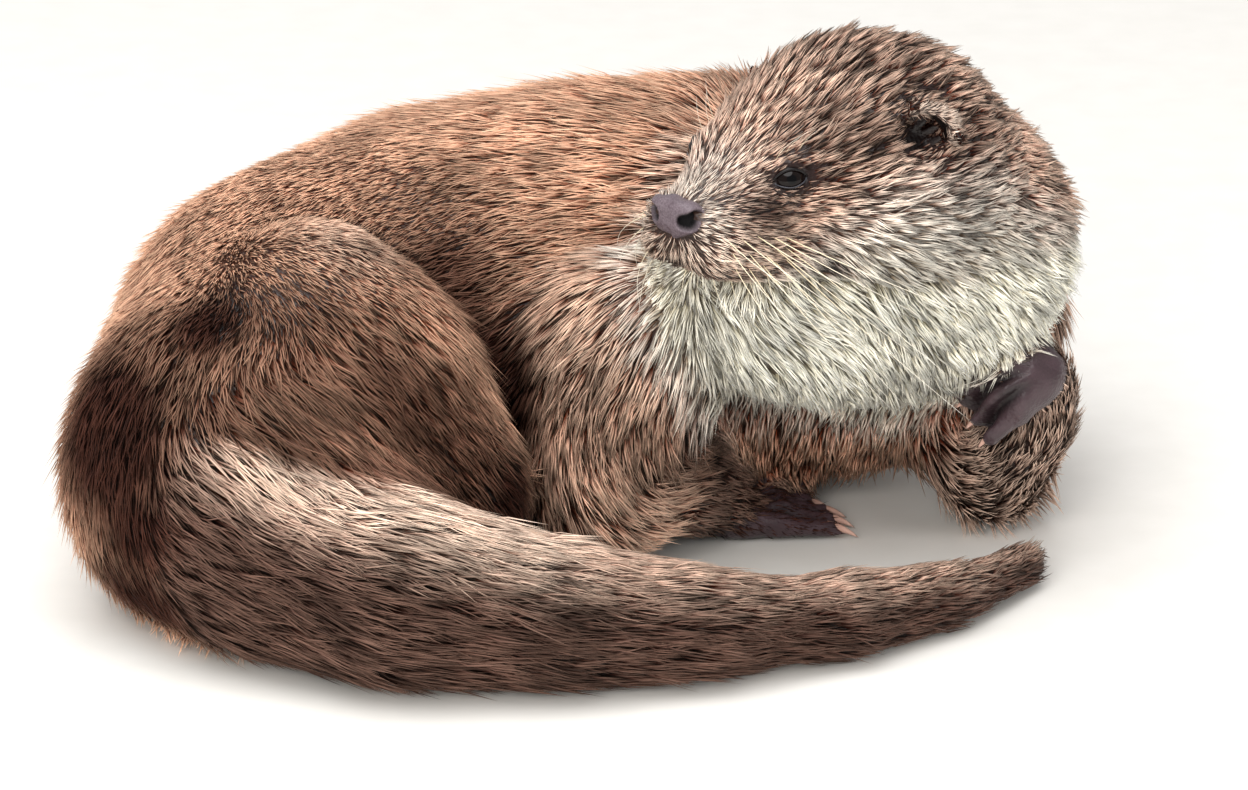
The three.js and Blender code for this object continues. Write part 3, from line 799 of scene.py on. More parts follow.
def make_skin():
    """The skin's mesh, laid under the coat and shaped, with the coat's values at every vertex."""
    mesh = rough_skin()
    p = points_of(mesh)
    part = part_at(p)
    edges = edges_of(mesh)
    normal = unit(settle(normals_of(mesh), edges, 3))
    values = coat_values(p, part, edges, normal)
    off_ear = ~on_parts(part, EARS)
    p = p - normal * (values[:, DEPTH] + SWELL * off_ear)[:, None]
    for side in EYES:
        p = p - normal * (CUP_DEPTH * Ear(side).cup(p) * off_ear)[:, None]
    p = press_folds(plump_muzzle(p, normal), normal)
    p = part_toes(p, normal, on_parts(part, PAWS))
    p = shape_face(tuck_under_nose(p), normal)
    p[:, 2] = np.maximum(p[:, 2], LEAST_HEIGHT)
    put_points(mesh, p)
    shade_smooth(mesh)
    marks_and_shading = settle(markings_and_shading(p, part), edges, 5)
    return mesh, p, part, values, marks_and_shading


def flow_at(p, part, edges, normal):
    """The way that the hair lies at every vertex, along the skin."""
    way = np.zeros_like(p)
    for i, coat in enumerate(COATS.values()):
        mine = part == i
        way[mine] = head_flow(p[mine]) if coat.line is None else along_line(p[mine], coat.line)
    # The tail's root above the crease belongs to the thigh.
    over = on_parts(part, TAIL_PARTS) & (p[:, 0] < -20) & (above_fold(p) > 0)
    way[over] = along_line(p[over], HIND_RIGHT)
    for _ in range(4):
        way = settle(way, edges, 4)
        way = unit(way - normal * (way * normal).sum(1, keepdims=True))
    return way


# ---------------------------------------------------------------- tufts
PATCH = 0.003  # a tuft's patch on the bake map
MOST_TRIANGLES = 190000  # in one coat piece
LOCK = 6  # tufts to a lock
STRAY = math.radians(8)
LEAST_TIP = 0.5  # of a tuft's tip over the floor
MEAN_TINT = 0.47

# One layer of the coat: its share of the crowd, its sizes against the coat's own, and its mean tint.
# Straight tufts are plain spikes; the others bend once.
Layer = namedtuple("Layer", "share straight length width lift tint")
UNDERCOAT = Layer(share=0.62, straight=True, length=0.8, width=1.05, lift=0.75, tint=0.25)
GUARD_HAIR = Layer(share=0.36, straight=False, length=1.2, width=0.88, lift=1.05, tint=0.72)


def spread(count, share, least, most):
    """A random scale for each tuft, about 1."""
    return np.clip(1 + share * rng.normal(size=count), least, most)


class Tufts:
    """Arrays, one row a tuft, that grow at random places on the skin."""

    def __init__(self, skin, layer):
        self.layer = layer
        a, b, c = skin.p[skin.tris].transpose(1, 0, 2)
        area = np.linalg.norm(np.cross(b - a, c - a), axis=1) / 2
        crowd = skin.values[skin.tris, CROWD].mean(1) / 100 * layer.share
        bare = skin.bare[skin.tris].mean(1)
        number = rng.poisson(area * crowd * (1 - bare))
        tri = np.repeat(np.arange(len(area)), number)
        a, b = np.sort(rng.random((2, len(tri))), axis=0)
        weight = np.stack([a, b - a, 1 - b], 1)[:, :, None]
        corner = skin.tris[tri]

        def here(values):
            return (values[corner] * weight).sum(1)

        self.root = here(skin.p)
        self.normal = unit(here(skin.normal))
        self.way = unit(here(skin.way))
        self.values = here(skin.values)
        self.marks_and_shading = here(skin.marks_and_shading)
        self.uv = (skin.uv[tri] * weight).sum(1)
        self.shape_up()

    def shape_up(self):
        """Gives every tuft its tip: a lift off the skin, some stray, and a lean to its lock."""
        count = len(self.root)
        layer = self.layer
        across = np.cross(self.normal, self.way)
        self.length = self.values[:, LENGTH] * layer.length * spread(count, 0.2, 0.45, 1.6)
        lift = np.radians(self.values[:, LIFT] * layer.lift * spread(count, 0.3, 0.3, 2.0))[:, None]
        stray = STRAY * rng.normal(size=count)[:, None]
        aim = self.way * np.cos(stray) + across * np.sin(stray)
        aim = aim * np.cos(lift) + self.normal * np.sin(lift)
        self.tip = self.root + aim * self.length[:, None]
        self.tint = np.clip(layer.tint + 0.16 * rng.normal(size=count), 0, 1)
        self.gather_locks()
        self.tip[:, 2] = np.maximum(self.tip[:, 2], LEAST_TIP)
        self.width = self.values[:, WIDTH] * layer.width * spread(count, 0.25, 0.5, 1.7)
        self.sway = 0.06 * self.length * (0.7 * self.sway_lock + 0.5 * rng.normal(size=count))

    def gather_locks(self):
        """Tips draw to a lock's leader, and the hairs at a lock's edge are darker, a painted shade as if
        under it.
        """
        count = len(self.root)
        leaders = rng.choice(count, max(1, count // LOCK), replace=False)
        tree = tree_of(self.root[leaders])
        led = leaders[np.array([tree.find(spot)[1] for spot in self.root])]
        gap = self.root[led] - self.root
        beside = np.abs((gap * np.cross(self.normal, self.way)).sum(1))
        apart = np.linalg.norm(gap, axis=1)
        reach = 0.55 / np.sqrt(self.values[:, CROWD] / 100 * self.layer.share)
        gather = self.values[:, GATHER]
        pull = gather * ramp(1.3, 0.5, apart / self.length) * rng.uniform(0.6, 1, count)
        aligned = (self.way[led] * self.way).sum(1) > 0.8
        pull = (pull * aligned)[:, None]
        self.tip = self.tip * (1 - pull) + self.tip[led] * pull
        self.sway_lock = rng.normal(size=count)[led]
        edge = np.clip(beside / (2.4 * reach), 0, 1)
        shade = 0.5 * self.tint + 0.5 * self.tint[led] + gather * (0.2 - 0.7 * edge)
        self.tint = np.clip(MEAN_TINT + (shade - MEAN_TINT) * (1 + 0.5 * gather), 0, 1)

    def shape(self):
        """Every tuft's points, the share of the way to the tip at each, and one tuft's triangles."""
        run = self.tip - self.root
        across = unit(np.cross(run, self.normal))
        lifted = unit(np.cross(across, run))
        half = (self.width / 2)[:, None]
        base = self.root - unit(run) * 0.4 - self.normal * 0.25

        def round_of(middle, girth):
            side = across * half * girth
            return [middle + side, middle + lifted * half * 0.8 * girth, middle - side]

        if self.layer.straight:
            rings = round_of(base, 0.9)
            share = [0.0] * 3
            tris = [(0, 1, 3), (1, 2, 3), (2, 0, 3), (2, 1, 0)]
        else:
            bend = base + run * 0.45 + self.normal * (self.length * 0.05)[:, None]
            bend = bend + across * self.sway[:, None]
            rings = round_of(base, 0.6) + round_of(bend, 1.0)
            share = [0.0] * 3 + [0.45] * 3
            tris = [(2, 1, 0)]
            for i, j in ((0, 1), (1, 2), (2, 0)):
                tris += [(i, j, j + 3), (i, j + 3, i + 3), (i + 3, j + 3, 6)]
        return np.stack(rings + [self.tip], 1), np.array(share + [1.0]), np.array(tris)

    def patch_corners(self):
        """The corners of one tuft's triangles on its patch of the bake map, about the patch's middle."""
        foot, knee, tip = -0.5, -0.05, 0.5
        end = [(-0.1, foot), (0.0, foot * 0.9), (0.1, foot)]
        sides = []
        for left, right in ((-0.5, -0.17), (-0.17, 0.17), (0.17, 0.5)):
            if not self.layer.straight:
                sides += [(left, foot), (right, foot), (right, knee)]
                sides += [(left, foot), (right, knee), (left, knee)]
            low = foot if self.layer.straight else knee
            sides += [(left, low), (right, low), ((left + right) / 2, tip)]
        return np.array(sides + end if self.layer.straight else end + sides) * PATCH

    def grow(self, name, finish):
        """Coat pieces, each under MOST_TRIANGLES triangles."""
        points, share, tris = self.shape()
        corners = self.patch_corners()
        size = points.shape[1]
        pieces = math.ceil(len(points) * len(tris) / MOST_TRIANGLES)
        order = np.argsort(self.root[:, 0], kind="stable")
        for k, chosen in enumerate(np.array_split(order, pieces)):
            firsts = np.arange(len(chosen))[:, None, None] * size
            piece_name = f"{name}_{k + 1}"
            mesh = mesh_of(piece_name, points[chosen].reshape(-1, 3), (tris + firsts).reshape(-1, 3))
            put_attribute(mesh, "along", "FLOAT", np.tile(share, len(chosen)))
            put_attribute(mesh, "tint", "FLOAT", np.repeat(self.tint[chosen], size))
            put_attribute(mesh, "marks_and_shading", "FLOAT_COLOR", np.repeat(self.marks_and_shading[chosen], size, 0))
            uv = self.uv[chosen][:, None] + corners
            mesh.uv_layers.new(name="OFBake").data.foreach_set("uv", uv.astype(np.float32).ravel())
            new_piece(piece_name, mesh, finish)


class Skin:
    """The skin's mesh with everything that the coat reads from it."""

    def __init__(self):
        self.mesh, self.p, self.part, self.values, self.marks_and_shading = make_skin()
        self.normal = normals_of(self.mesh)
        self.way = flow_at(self.p, self.part, edges_of(self.mesh), self.normal)
        self.bare = self.bareness()
        put_attribute(self.mesh, "marks_and_shading", "FLOAT_COLOR", self.marks_and_shading)
        put_attribute(self.mesh, "along", "FLOAT", np.zeros(len(self.p)))
        put_attribute(self.mesh, "tint", "FLOAT", np.full(len(self.p), 0.5))
        paws = on_parts(self.part, PAWS)
        put_attribute(self.mesh, "hide", "FLOAT", settle(paws[:, None], edges_of(self.mesh), 3)[:, 0])
        # The gaps between the toes, which the paw's finish darkens as painted shade.
        gaps = np.max([toe_gaps(in_foot(self.p, foot), foot)[0] for foot in FEET.values()], 0)
        put_attribute(self.mesh, "gap", "FLOAT", gaps * paws)
        self.object = new_object("skin", self.mesh)
        self.unwrap()

    def bareness(self):
        """1 where no hair grows: the lids, under the nose pad, the cups of the ears and against the floor."""
        bare = ramp(0.42, 0.6, near(to_head(self.p), NOSE_MIDDLE, (9, 13, 7)))
        for side in EYES:
            eye, ear = Eye(side), Ear(side)
            q = eye.local(self.p)
            close = (q[:, 0] > 0) & (np.linalg.norm(q, axis=1) < 16)
            bare = np.maximum(bare, close * (1 - ramp(1.25, 1.9, eye.slit(q))))
            on_ear = on_parts(self.part, [f"ear_{side}"])
            bare = np.maximum(bare, np.where(on_ear, ear.inside(self.p), ear.cup(self.p)))
        bare = np.maximum(bare, ramp(4.0, 2.2, self.p[:, 2]) * (self.normal[:, 2] < -0.4))
        return np.clip(bare, 0, 1)

    def unwrap(self):
        """Lays the skin out flat as the bake map, then reads every triangle's corners on it."""
        bpy.context.view_layer.objects.active = self.object
        self.object.select_set(True)
        self.mesh.uv_layers.new(name="OFBake")
        bpy.ops.object.mode_set(mode="EDIT")
        bpy.ops.mesh.select_all(action="SELECT")
        bpy.ops.uv.smart_project(angle_limit=math.radians(66), island_margin=0.003)
        bpy.ops.object.mode_set(mode="OBJECT")
        self.mesh.calc_loop_triangles()
        self.tris = read(self.mesh.loop_triangles, "vertices", 3, np.int32)
        loops = read(self.mesh.loop_triangles, "loops", 3, np.int32)
        self.uv = read(self.mesh.uv_layers["OFBake"].data, "uv", 2)[loops].astype(float)


# ---------------------------------------------------------------- materials
# Sizes of the patterns in mm. Pores, fibres, grain and streaks are finer in life, and are drawn coarse
# enough to show.
COAT_PATCH = 26.32
SKIN_CREASE = 2.857
SKIN_PORE = 1.111
PAW_BLOTCH = 8.333
IRIS_FIBRE = 0.4
LID_GRAIN = 1.111
NOSE_PEBBLE = 0.6667
NOSE_CLOUD = 3.846
HORN_STREAK = 1.4286
BOARD_TOOTH = 16.667
# A colour mix's inputs and output, by number because its other kinds share their names.
SHARE, FIRST, SECOND = 0, 6, 7
MIXED = 2


def colour(code):
    """A linear colour from an sRGB hex code."""
    parts = [int(code[i:i + 2], 16) / 255 for i in (1, 3, 5)]
    return [c / 12.92 if c <= 0.04045 else ((c + 0.055) / 1.055) ** 2.4 for c in parts] + [1.0]


def scale(size):
    """A pattern's scale from its size in mm."""
    return 1 / (size * MM)


def add(tree, kind, inputs=None, **settings):
    """A node with its settings and its inputs, each a number, a hex code or the socket that feeds it."""
    made = tree.nodes.new(kind)
    for name, value in settings.items():
        setattr(made, name, value)
    for key, given in (inputs or {}).items():
        if isinstance(given, bpy.types.NodeSocket):
            tree.links.new(given, made.inputs[key])
        else:
            made.inputs[key].default_value = colour(given) if isinstance(given, str) else given
    return made


def new_finish(name):
    """An empty node material."""
    finish = bpy.data.materials.new(name)
    finish.use_nodes = True
    finish.node_tree.nodes.clear()
    return finish, finish.node_tree


def give_surface(tree, inputs):
    """A finish's surface shader, from everything that feeds it."""
    surface = add(tree, "ShaderNodeBsdfPrincipled", inputs)
    add(tree, "ShaderNodeOutputMaterial", {"Surface": surface.outputs["BSDF"]})


# Root and tip colours of each kind of hair. The dark roots are partly the hair's own and partly painted shade
# deep in the coat.
BROWN = ("#350f08", "#e9d1bf")
WARM = ("#6e311a", "#d2ad92")
CREAM = ("#a39b84", "#fffff6")
TAN_AND_HIGHLIGHT = ("#5a3320", "#f5e0cd")
DARK = ("#150504", "#462a21")
CREAM_COMES = (2.6, 0.7)  # the cream comes in at the tips first, and at the roots only on the throat


def coat_colours(tree):
    """The hair's colour from root to tip, mixed by the markings and the painted shade and highlights."""
    marks_and_shading = add(tree, "ShaderNodeAttribute", attribute_name="marks_and_shading")
    pale, warm, dark = add(tree, "ShaderNodeSeparateColor", {"Color": marks_and_shading.outputs["Color"]}).outputs
    # The fourth mark: the tan, and the painted highlights.
    tan = marks_and_shading.outputs["Alpha"]
    ends = []
    for end, power in enumerate(CREAM_COMES):
        cream = add(tree, "ShaderNodeMath", {0: pale, 1: power}, operation="POWER").outputs[0]
        hair = BROWN[end]
        for share, kind in ((warm, WARM), (tan, TAN_AND_HIGHLIGHT), (dark, DARK), (cream, CREAM)):
            mix = add(tree, "ShaderNodeMix", {SHARE: share, FIRST: hair, SECOND: kind[end]}, data_type="RGBA")
            hair = mix.outputs[MIXED]
        ends.append(hair)
    along = add(tree, "ShaderNodeAttribute", attribute_name="along").outputs["Fac"]
    rise = add(tree, "ShaderNodeMapRange", {"Value": along, "From Min": 0.15, "From Max": 0.92}).outputs[0]
    hair = add(tree, "ShaderNodeMix", {SHARE: rise, FIRST: ends[0], SECOND: ends[1]}, data_type="RGBA")
    least = add(tree, "ShaderNodeMapRange", {"Value": pale, "To Min": 0.1, "To Max": 0.62}).outputs[0]
    most = add(tree, "ShaderNodeMapRange", {"Value": pale, "To Min": 1.8, "To Max": 1.4}).outputs[0]
    tint = add(tree, "ShaderNodeAttribute", attribute_name="tint").outputs["Fac"]
    shade = add(tree, "ShaderNodeMapRange", {"Value": tint, "To Min": least, "To Max": most}).outputs[0]
    # Patches where the coat is a little lighter or darker.
    place = add(tree, "ShaderNodeTexCoord").outputs["Object"]
    patches = add(tree, "ShaderNodeTexNoise", {"Vector": place, "Scale": scale(COAT_PATCH), "Detail": 3.0})
    limits = {"From Min": 0.35, "From Max": 0.65, "To Min": 0.72, "To Max": 1.22}
    drift = add(tree, "ShaderNodeMapRange", {"Value": patches.outputs["Fac"], **limits}).outputs[0]
    both = add(tree, "ShaderNodeMath", {0: shade, 1: drift}, operation="MULTIPLY").outputs[0]
    grey = add(tree, "ShaderNodeCombineColor", {i: both for i in range(3)}).outputs[0]
    tinted = {SHARE: 1.0, FIRST: hair.outputs[MIXED], SECOND: grey}
    return add(tree, "ShaderNodeMix", tinted, data_type="RGBA", blend_type="MULTIPLY").outputs[MIXED]


def guard_hair():
    """Guard hair, grown: half-gloss strands, dark at the root and pale at the tip."""
    finish, tree = new_finish("otter_guard_hair")
    give_surface(tree, {"Base Color": coat_colours(tree), "Roughness": 0.52, "Specular IOR Level": 0.12})
    return finish


def bare_skin():
    """Skin under short hair: dark and matt, with fine creases and pores that catch the light on the paws, and
    painted shade between the toes.
    """
    finish, tree = new_finish("otter_skin")
    place = add(tree, "ShaderNodeTexCoord").outputs["Object"]
    pores = add(tree, "ShaderNodeTexVoronoi", {"Vector": place, "Scale": scale(SKIN_PORE)})
    folds = add(tree, "ShaderNodeTexNoise", {"Vector": place, "Scale": scale(SKIN_CREASE), "Detail": 6.0})
    creases = folds.outputs["Fac"]
    deep = add(tree, "ShaderNodeMix", {SHARE: creases, FIRST: "#5a5452", SECOND: "#8b8482"}, data_type="RGBA")
    layers = {SHARE: 1.0, FIRST: coat_colours(tree), SECOND: deep.outputs[MIXED]}
    under_coat = add(tree, "ShaderNodeMix", layers, data_type="RGBA", blend_type="MULTIPLY").outputs[MIXED]
    cloud = add(tree, "ShaderNodeTexNoise", {"Vector": place, "Scale": scale(PAW_BLOTCH), "Detail": 4.0})
    blotches = {SHARE: cloud.outputs["Fac"], FIRST: "#1b1213", SECOND: "#4c3a40"}
    plum = add(tree, "ShaderNodeMix", blotches, data_type="RGBA").outputs[MIXED]
    # Painted shade between the toes.
    gap = add(tree, "ShaderNodeAttribute", attribute_name="gap").outputs["Fac"]
    paw = add(tree, "ShaderNodeMix", {SHARE: gap, FIRST: plum, SECOND: "#0d0809"}, data_type="RGBA")
    hide = add(tree, "ShaderNodeAttribute", attribute_name="hide").outputs["Fac"]
    both = {SHARE: hide, FIRST: under_coat, SECOND: paw.outputs[MIXED]}
    skin_colour = add(tree, "ShaderNodeMix", both, data_type="RGBA").outputs[MIXED]
    summed = {0: pores.outputs["Distance"], 1: creases}
    height = add(tree, "ShaderNodeMath", summed, operation="ADD").outputs[0]
    relief = add(tree, "ShaderNodeBump", {"Height": height, "Strength": 0.35, "Distance": 0.0005})
    give_surface(tree, {"Base Color": skin_colour, "Roughness": 0.4, "Normal": relief.outputs[0]})
    return finish


def wet_eye():
    """Eye, wet: a near-black iris with a dark grey rim under a clear hard gloss."""
    finish, tree = new_finish("otter_eye")
    ring = add(tree, "ShaderNodeAttribute", attribute_name="ring").outputs["Fac"]
    place = add(tree, "ShaderNodeTexCoord").outputs["Object"]
    fibres = add(tree, "ShaderNodeTexNoise", {"Vector": place, "Scale": scale(IRIS_FIBRE), "Detail": 2.0})
    shades = {SHARE: fibres.outputs["Fac"], FIRST: "#070404", SECOND: "#120b09"}
    iris = add(tree, "ShaderNodeMix", shades, data_type="RGBA").outputs[MIXED]
    pupil = add(tree, "ShaderNodeMapRange", {"Value": ring, "From Min": 0.24, "From Max": 0.32}).outputs[0]
    inner = add(tree, "ShaderNodeMix", {SHARE: pupil, FIRST: "#020203", SECOND: iris}, data_type="RGBA")
    rim = add(tree, "ShaderNodeMapRange", {"Value": ring, "From Min": 0.88, "From Max": 1.0}).outputs[0]
    whole = {SHARE: rim, FIRST: inner.outputs[MIXED], SECOND: "#2a2526"}
    eye_colour = add(tree, "ShaderNodeMix", whole, data_type="RGBA").outputs[MIXED]
    gloss = {"Roughness": 0.06, "Specular IOR Level": 0.14, "Coat Weight": 0.15, "Coat Roughness": 0.02}
    give_surface(tree, {"Base Color": eye_colour, **gloss})
    return finish


def lid_skin():
    """The lids' bare margin, moist: black above, dull grey along the lower lid."""
    finish, tree = new_finish("otter_lid_margin")
    lower = add(tree, "ShaderNodeAttribute", attribute_name="lower").outputs["Fac"]
    lid = add(tree, "ShaderNodeMix", {SHARE: lower, FIRST: "#070506", SECOND: "#45474f"}, data_type="RGBA")
    place = add(tree, "ShaderNodeTexCoord").outputs["Object"]
    grain = add(tree, "ShaderNodeTexNoise", {"Vector": place, "Scale": scale(LID_GRAIN), "Detail": 3.0})
    both = {SHARE: grain.outputs["Fac"], FIRST: lid.outputs[MIXED], SECOND: "#1a1718"}
    lid_colour = add(tree, "ShaderNodeMix", both, data_type="RGBA").outputs[MIXED]
    give_surface(tree, {"Base Color": lid_colour, "Roughness": 0.28, "Specular IOR Level": 0.3})
    return finish


def nose_leather():
    """The nose pad's bare skin, pebbled: mauve grey with a soft damp gloss, and black painted shade inside
    the nostrils.
    """
    finish, tree = new_finish("otter_nose_pad")
    hollow = add(tree, "ShaderNodeAttribute", attribute_name="hollow").outputs["Fac"]
    place = add(tree, "ShaderNodeTexCoord").outputs["Object"]
    pattern = {"Vector": place, "Scale": scale(NOSE_PEBBLE), "Randomness": 0.9}
    pebbles = add(tree, "ShaderNodeTexVoronoi", pattern).outputs["Distance"]
    cloud = add(tree, "ShaderNodeTexNoise", {"Vector": place, "Scale": scale(NOSE_CLOUD), "Detail": 4.0})
    mauves = {SHARE: cloud.outputs["Fac"], FIRST: "#43393f", SECOND: "#867a80"}
    hide = add(tree, "ShaderNodeMix", mauves, data_type="RGBA").outputs[MIXED]
    grain = add(tree, "ShaderNodeMix", {SHARE: pebbles, FIRST: hide, SECOND: "#4a3e45"}, data_type="RGBA")
    # Painted shade: black in the nostrils' hollows.
    both = {SHARE: hollow, FIRST: grain.outputs[MIXED], SECOND: "#050405"}
    pad_colour = add(tree, "ShaderNodeMix", both, data_type="RGBA").outputs[MIXED]
    damp = add(tree, "ShaderNodeMapRange", {"Value": hollow, "To Min": 0.4, "To Max": 0.95}).outputs[0]
    # Turned over, since the pattern's distance is least in a pebble's middle.
    bumps = {"Height": pebbles, "Strength": 0.45, "Distance": 0.0003}
    relief = add(tree, "ShaderNodeBump", bumps, invert=True).outputs[0]
    feel = {"Roughness": damp, "Specular IOR Level": 0.35, "Normal": relief}
    give_surface(tree, {"Base Color": pad_colour, **feel})
    return finish


def claw_horn():
    """Claw horn, grown: pinkish brown, paler at the tip, with fine streaks in low relief."""
    finish, tree = new_finish("otter_claw_horn")
    along = add(tree, "ShaderNodeAttribute", attribute_name="along").outputs["Fac"]
    place = add(tree, "ShaderNodeTexCoord").outputs["Object"]
    grain = add(tree, "ShaderNodeTexNoise", {"Vector": place, "Scale": scale(HORN_STREAK), "Detail": 4.0})
    streaks = grain.outputs["Fac"]
    horn = add(tree, "ShaderNodeMix", {SHARE: along, FIRST: "#7a5148", SECOND: "#e6bfae"}, data_type="RGBA")
    both = {SHARE: streaks, FIRST: horn.outputs[MIXED], SECOND: "#a98577"}
    claw_colour = add(tree, "ShaderNodeMix", both, data_type="RGBA").outputs[MIXED]
    relief = add(tree, "ShaderNodeBump", {"Height": streaks, "Strength": 0.3, "Distance": 0.0002})
    give_surface(tree, {"Base Color": claw_colour, "Roughness": 0.35, "Normal": relief.outputs[0]})
    return finish


def whisker_hair():
    """Whisker, grown: stiff, smooth and glossy, yellowish white, browner at the root."""
    finish, tree = new_finish("otter_whisker")
    along = add(tree, "ShaderNodeAttribute", attribute_name="along").outputs["Fac"]
    hair = add(tree, "ShaderNodeMix", {SHARE: along, FIRST: "#d8c8a4", SECOND: "#fffaf0"}, data_type="RGBA")
    give_surface(tree, {"Base Color": hair.outputs[MIXED], "Roughness": 0.35})
    return finish


# ---------------------------------------------------------------- eyes, nose, claws, whiskers
def ring(middle, across, over, sides):
    """Points round a middle, from two half widths at right angles."""
    turns = [2 * math.pi * k / sides for k in range(sides)]
    return [middle + across * math.cos(turn) + over * math.sin(turn) for turn in turns]


def band(a, b, sides):
    """The triangles between two rings whose points start at a and at b."""
    faces = []
    for s in range(sides):
        after = (s + 1) % sides
        faces += [(a + s, a + after, b + after), (a + s, b + after, b + s)]
    return faces


class Horns:
    """Closed shapes, each a row of rings between two end points, with every point's share of the way."""

    def __init__(self):
        self.points, self.faces, self.share = [], [], []

    def add(self, rings, start, end, share):
        count, sides = len(rings), len(rings[0])
        first = len(self.points)
        last = first + (count - 1) * sides
        top = first + count * sides
        self.points += [point for around in rings for point in around] + [end, start]
        self.share += [*np.repeat(share, sides), 1.0, 0.0]
        for i in range(count - 1):
            self.faces += band(first + i * sides, first + (i + 1) * sides, sides)
        for s in range(sides):
            after = (s + 1) % sides
            self.faces += [(last + s, last + after, top), (first + after, first + s, top + 1)]


def facing_out(points, faces):
    """The faces, turned over if the closed shape they make is inside out."""
    p = np.asarray(points, float)
    p = p - p.mean(0)
    f = np.asarray(faces)
    volume = (np.cross(p[f[:, 0]], p[f[:, 1]]) * p[f[:, 2]]).sum()
    return f if volume > 0 else f[:, ::-1]


def finished_piece(name, points, faces, finish, attributes):
    mesh = mesh_of(name, points, facing_out(points, faces))
    for key, values in attributes.items():
        put_attribute(mesh, key, "FLOAT", values)
    return new_piece(name, mesh, finish)


def make_eye(side, finish, lid_finish):
    """An eyeball with a bulging cornea, and the lids' wet margin round its almond."""
    eye = Eye(side)
    out, inward, rise = np.eye(3)
    bulge, count = 0.35, 24
    angles = [math.pi * i / count for i in range(1, count)]
    rings = []
    for angle in angles:
        reach = eye.RADIUS - bulge + bulge * math.exp(-((angle / 0.55) ** 2))
        wide = reach * math.sin(angle)
        rings.append(ring(out * reach * math.cos(angle), inward * wide, rise * wide, 32))
    ball = Horns()
    ball.add(rings, out * eye.RADIUS, out * (bulge - eye.RADIUS), np.minimum(1, np.array(angles) / 1.05))
    points = eye.placed(ball.points)
    piece = finished_piece(f"eyeball_{side}", points, ball.faces, finish, {"ring": ball.share})
    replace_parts(piece, f"eye_{side}")

    steps, sides = 40, 6
    turn = 2 * math.pi * np.arange(steps) / steps
    y = 0.985 * eye.HALF_LONG * np.cos(turn)
    high = np.where(np.sin(turn) > 0, eye.HALF_HIGH, -eye.HALF_HIGH * eye.LOWER)
    z = high * np.maximum(0, 1 - np.abs(y / eye.HALF_LONG) ** 1.7) ** (1 / 1.6)
    reach = eye.RADIUS + 0.15
    path = np.stack([np.sqrt(np.maximum(1, reach**2 - y**2 - z**2)), y, z], 1)
    lower = z < -0.4
    thick = np.where(lower, 0.2, 0.46)[:, None]
    away = unit(path)
    across = np.cross(unit(np.roll(path, -1, 0) - np.roll(path, 1, 0)), away)
    points = np.stack(ring(path, thick * away, thick * across, sides), 1).reshape(-1, 3)
    faces = []
    for i in range(steps):
        faces += band(i * sides, (i + 1) % steps * sides, sides)
    shades = {"lower": np.repeat(lower, sides)}
    finished_piece(f"lids_{side}", eye.placed(points), faces, lid_finish, shades)


def make_nose(finish):
    """The nose pad from its solid, with comma nostrils, a groove below them and a soft upper edge."""
    mesh = voxel_cover(["nose_pad"], NOSE_VOXEL, 0)
    h = to_head(settle(points_of(mesh), edges_of(mesh), 14, 0.5))
    # A flat front, broad above and narrow below.
    front = 34.0
    h[:, 1] *= np.interp(h[:, 2], [-20, -16, -11, -7], [0.75, 0.95, 1.08, 1.12])
    h[:, 0] = np.where(h[:, 0] > front, front + 0.45 * (h[:, 0] - front), h[:, 0])
    p = from_head(h)
    hollow = np.zeros(len(p))
    for hand in (1, -1):
        bowl = [(36.2, 7.2 * hand, -12.2), (34.2, 9.8 * hand, -11.6)]
        tail = [(34.0, 10.2 * hand, -10.4), (29.0, 12.8 * hand, -8.0)]
        hollow = np.maximum(hollow, ramp(3.5, 2.2, away_from(h, bowl)))
        hollow = np.maximum(hollow, ramp(2.8, 1.5, away_from(h, tail)))
    groove = np.exp(-((h[:, 1] / 0.8) ** 2)) * ramp(-14, -17, h[:, 2])
    middle = from_head(np.array([29.5, 0.0, -12.0]))
    p = p + (middle - p) * (0.3 * hollow)[:, None] - normals_of(mesh) * (0.6 * groove)[:, None]
    put_points(mesh, p)
    mesh.name = "nose_leather"
    shade_smooth(mesh)
    put_attribute(mesh, "hollow", "FLOAT", np.clip(hollow * 1.3, 0, 1))
    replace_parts(new_piece("nose_leather", mesh, finish), "nose_pad")


def make_claws(name, finish, foot):
    """Five curved claws on a foot, each a tapered horn sunk in its toe."""
    along = np.arange(6) / 6
    claws = Horns()
    for a in TOES:
        base, tip = toe_ends(foot, a)
        aim = unit(unit(tip - base) - UP * 0.3)
        end = tip + aim * foot.r * (2.1 - 1.05 * foot.curl)
        start = tip - aim * 1.5 + UP * 0.4
        across = unit(np.cross(UP, aim))
        rings = []
        for t in along:
            middle = start + (end - start) * t + UP * 1.1 * math.sin(math.pi * t)
            half = 0.44 * foot.r * (1 - t) ** 0.7
            rings.append(ring(middle, across * half * 0.75, UP * half, 8))
        claws.add(rings, start, end, along)
    placed = np.array(claws.points) @ foot_axes(foot) + np.array(foot.heel, float)
    placed[:, 2] = np.maximum(placed[:, 2], 0.3)
    finished_piece(name, placed, claws.faces, finish, {"along": claws.share})


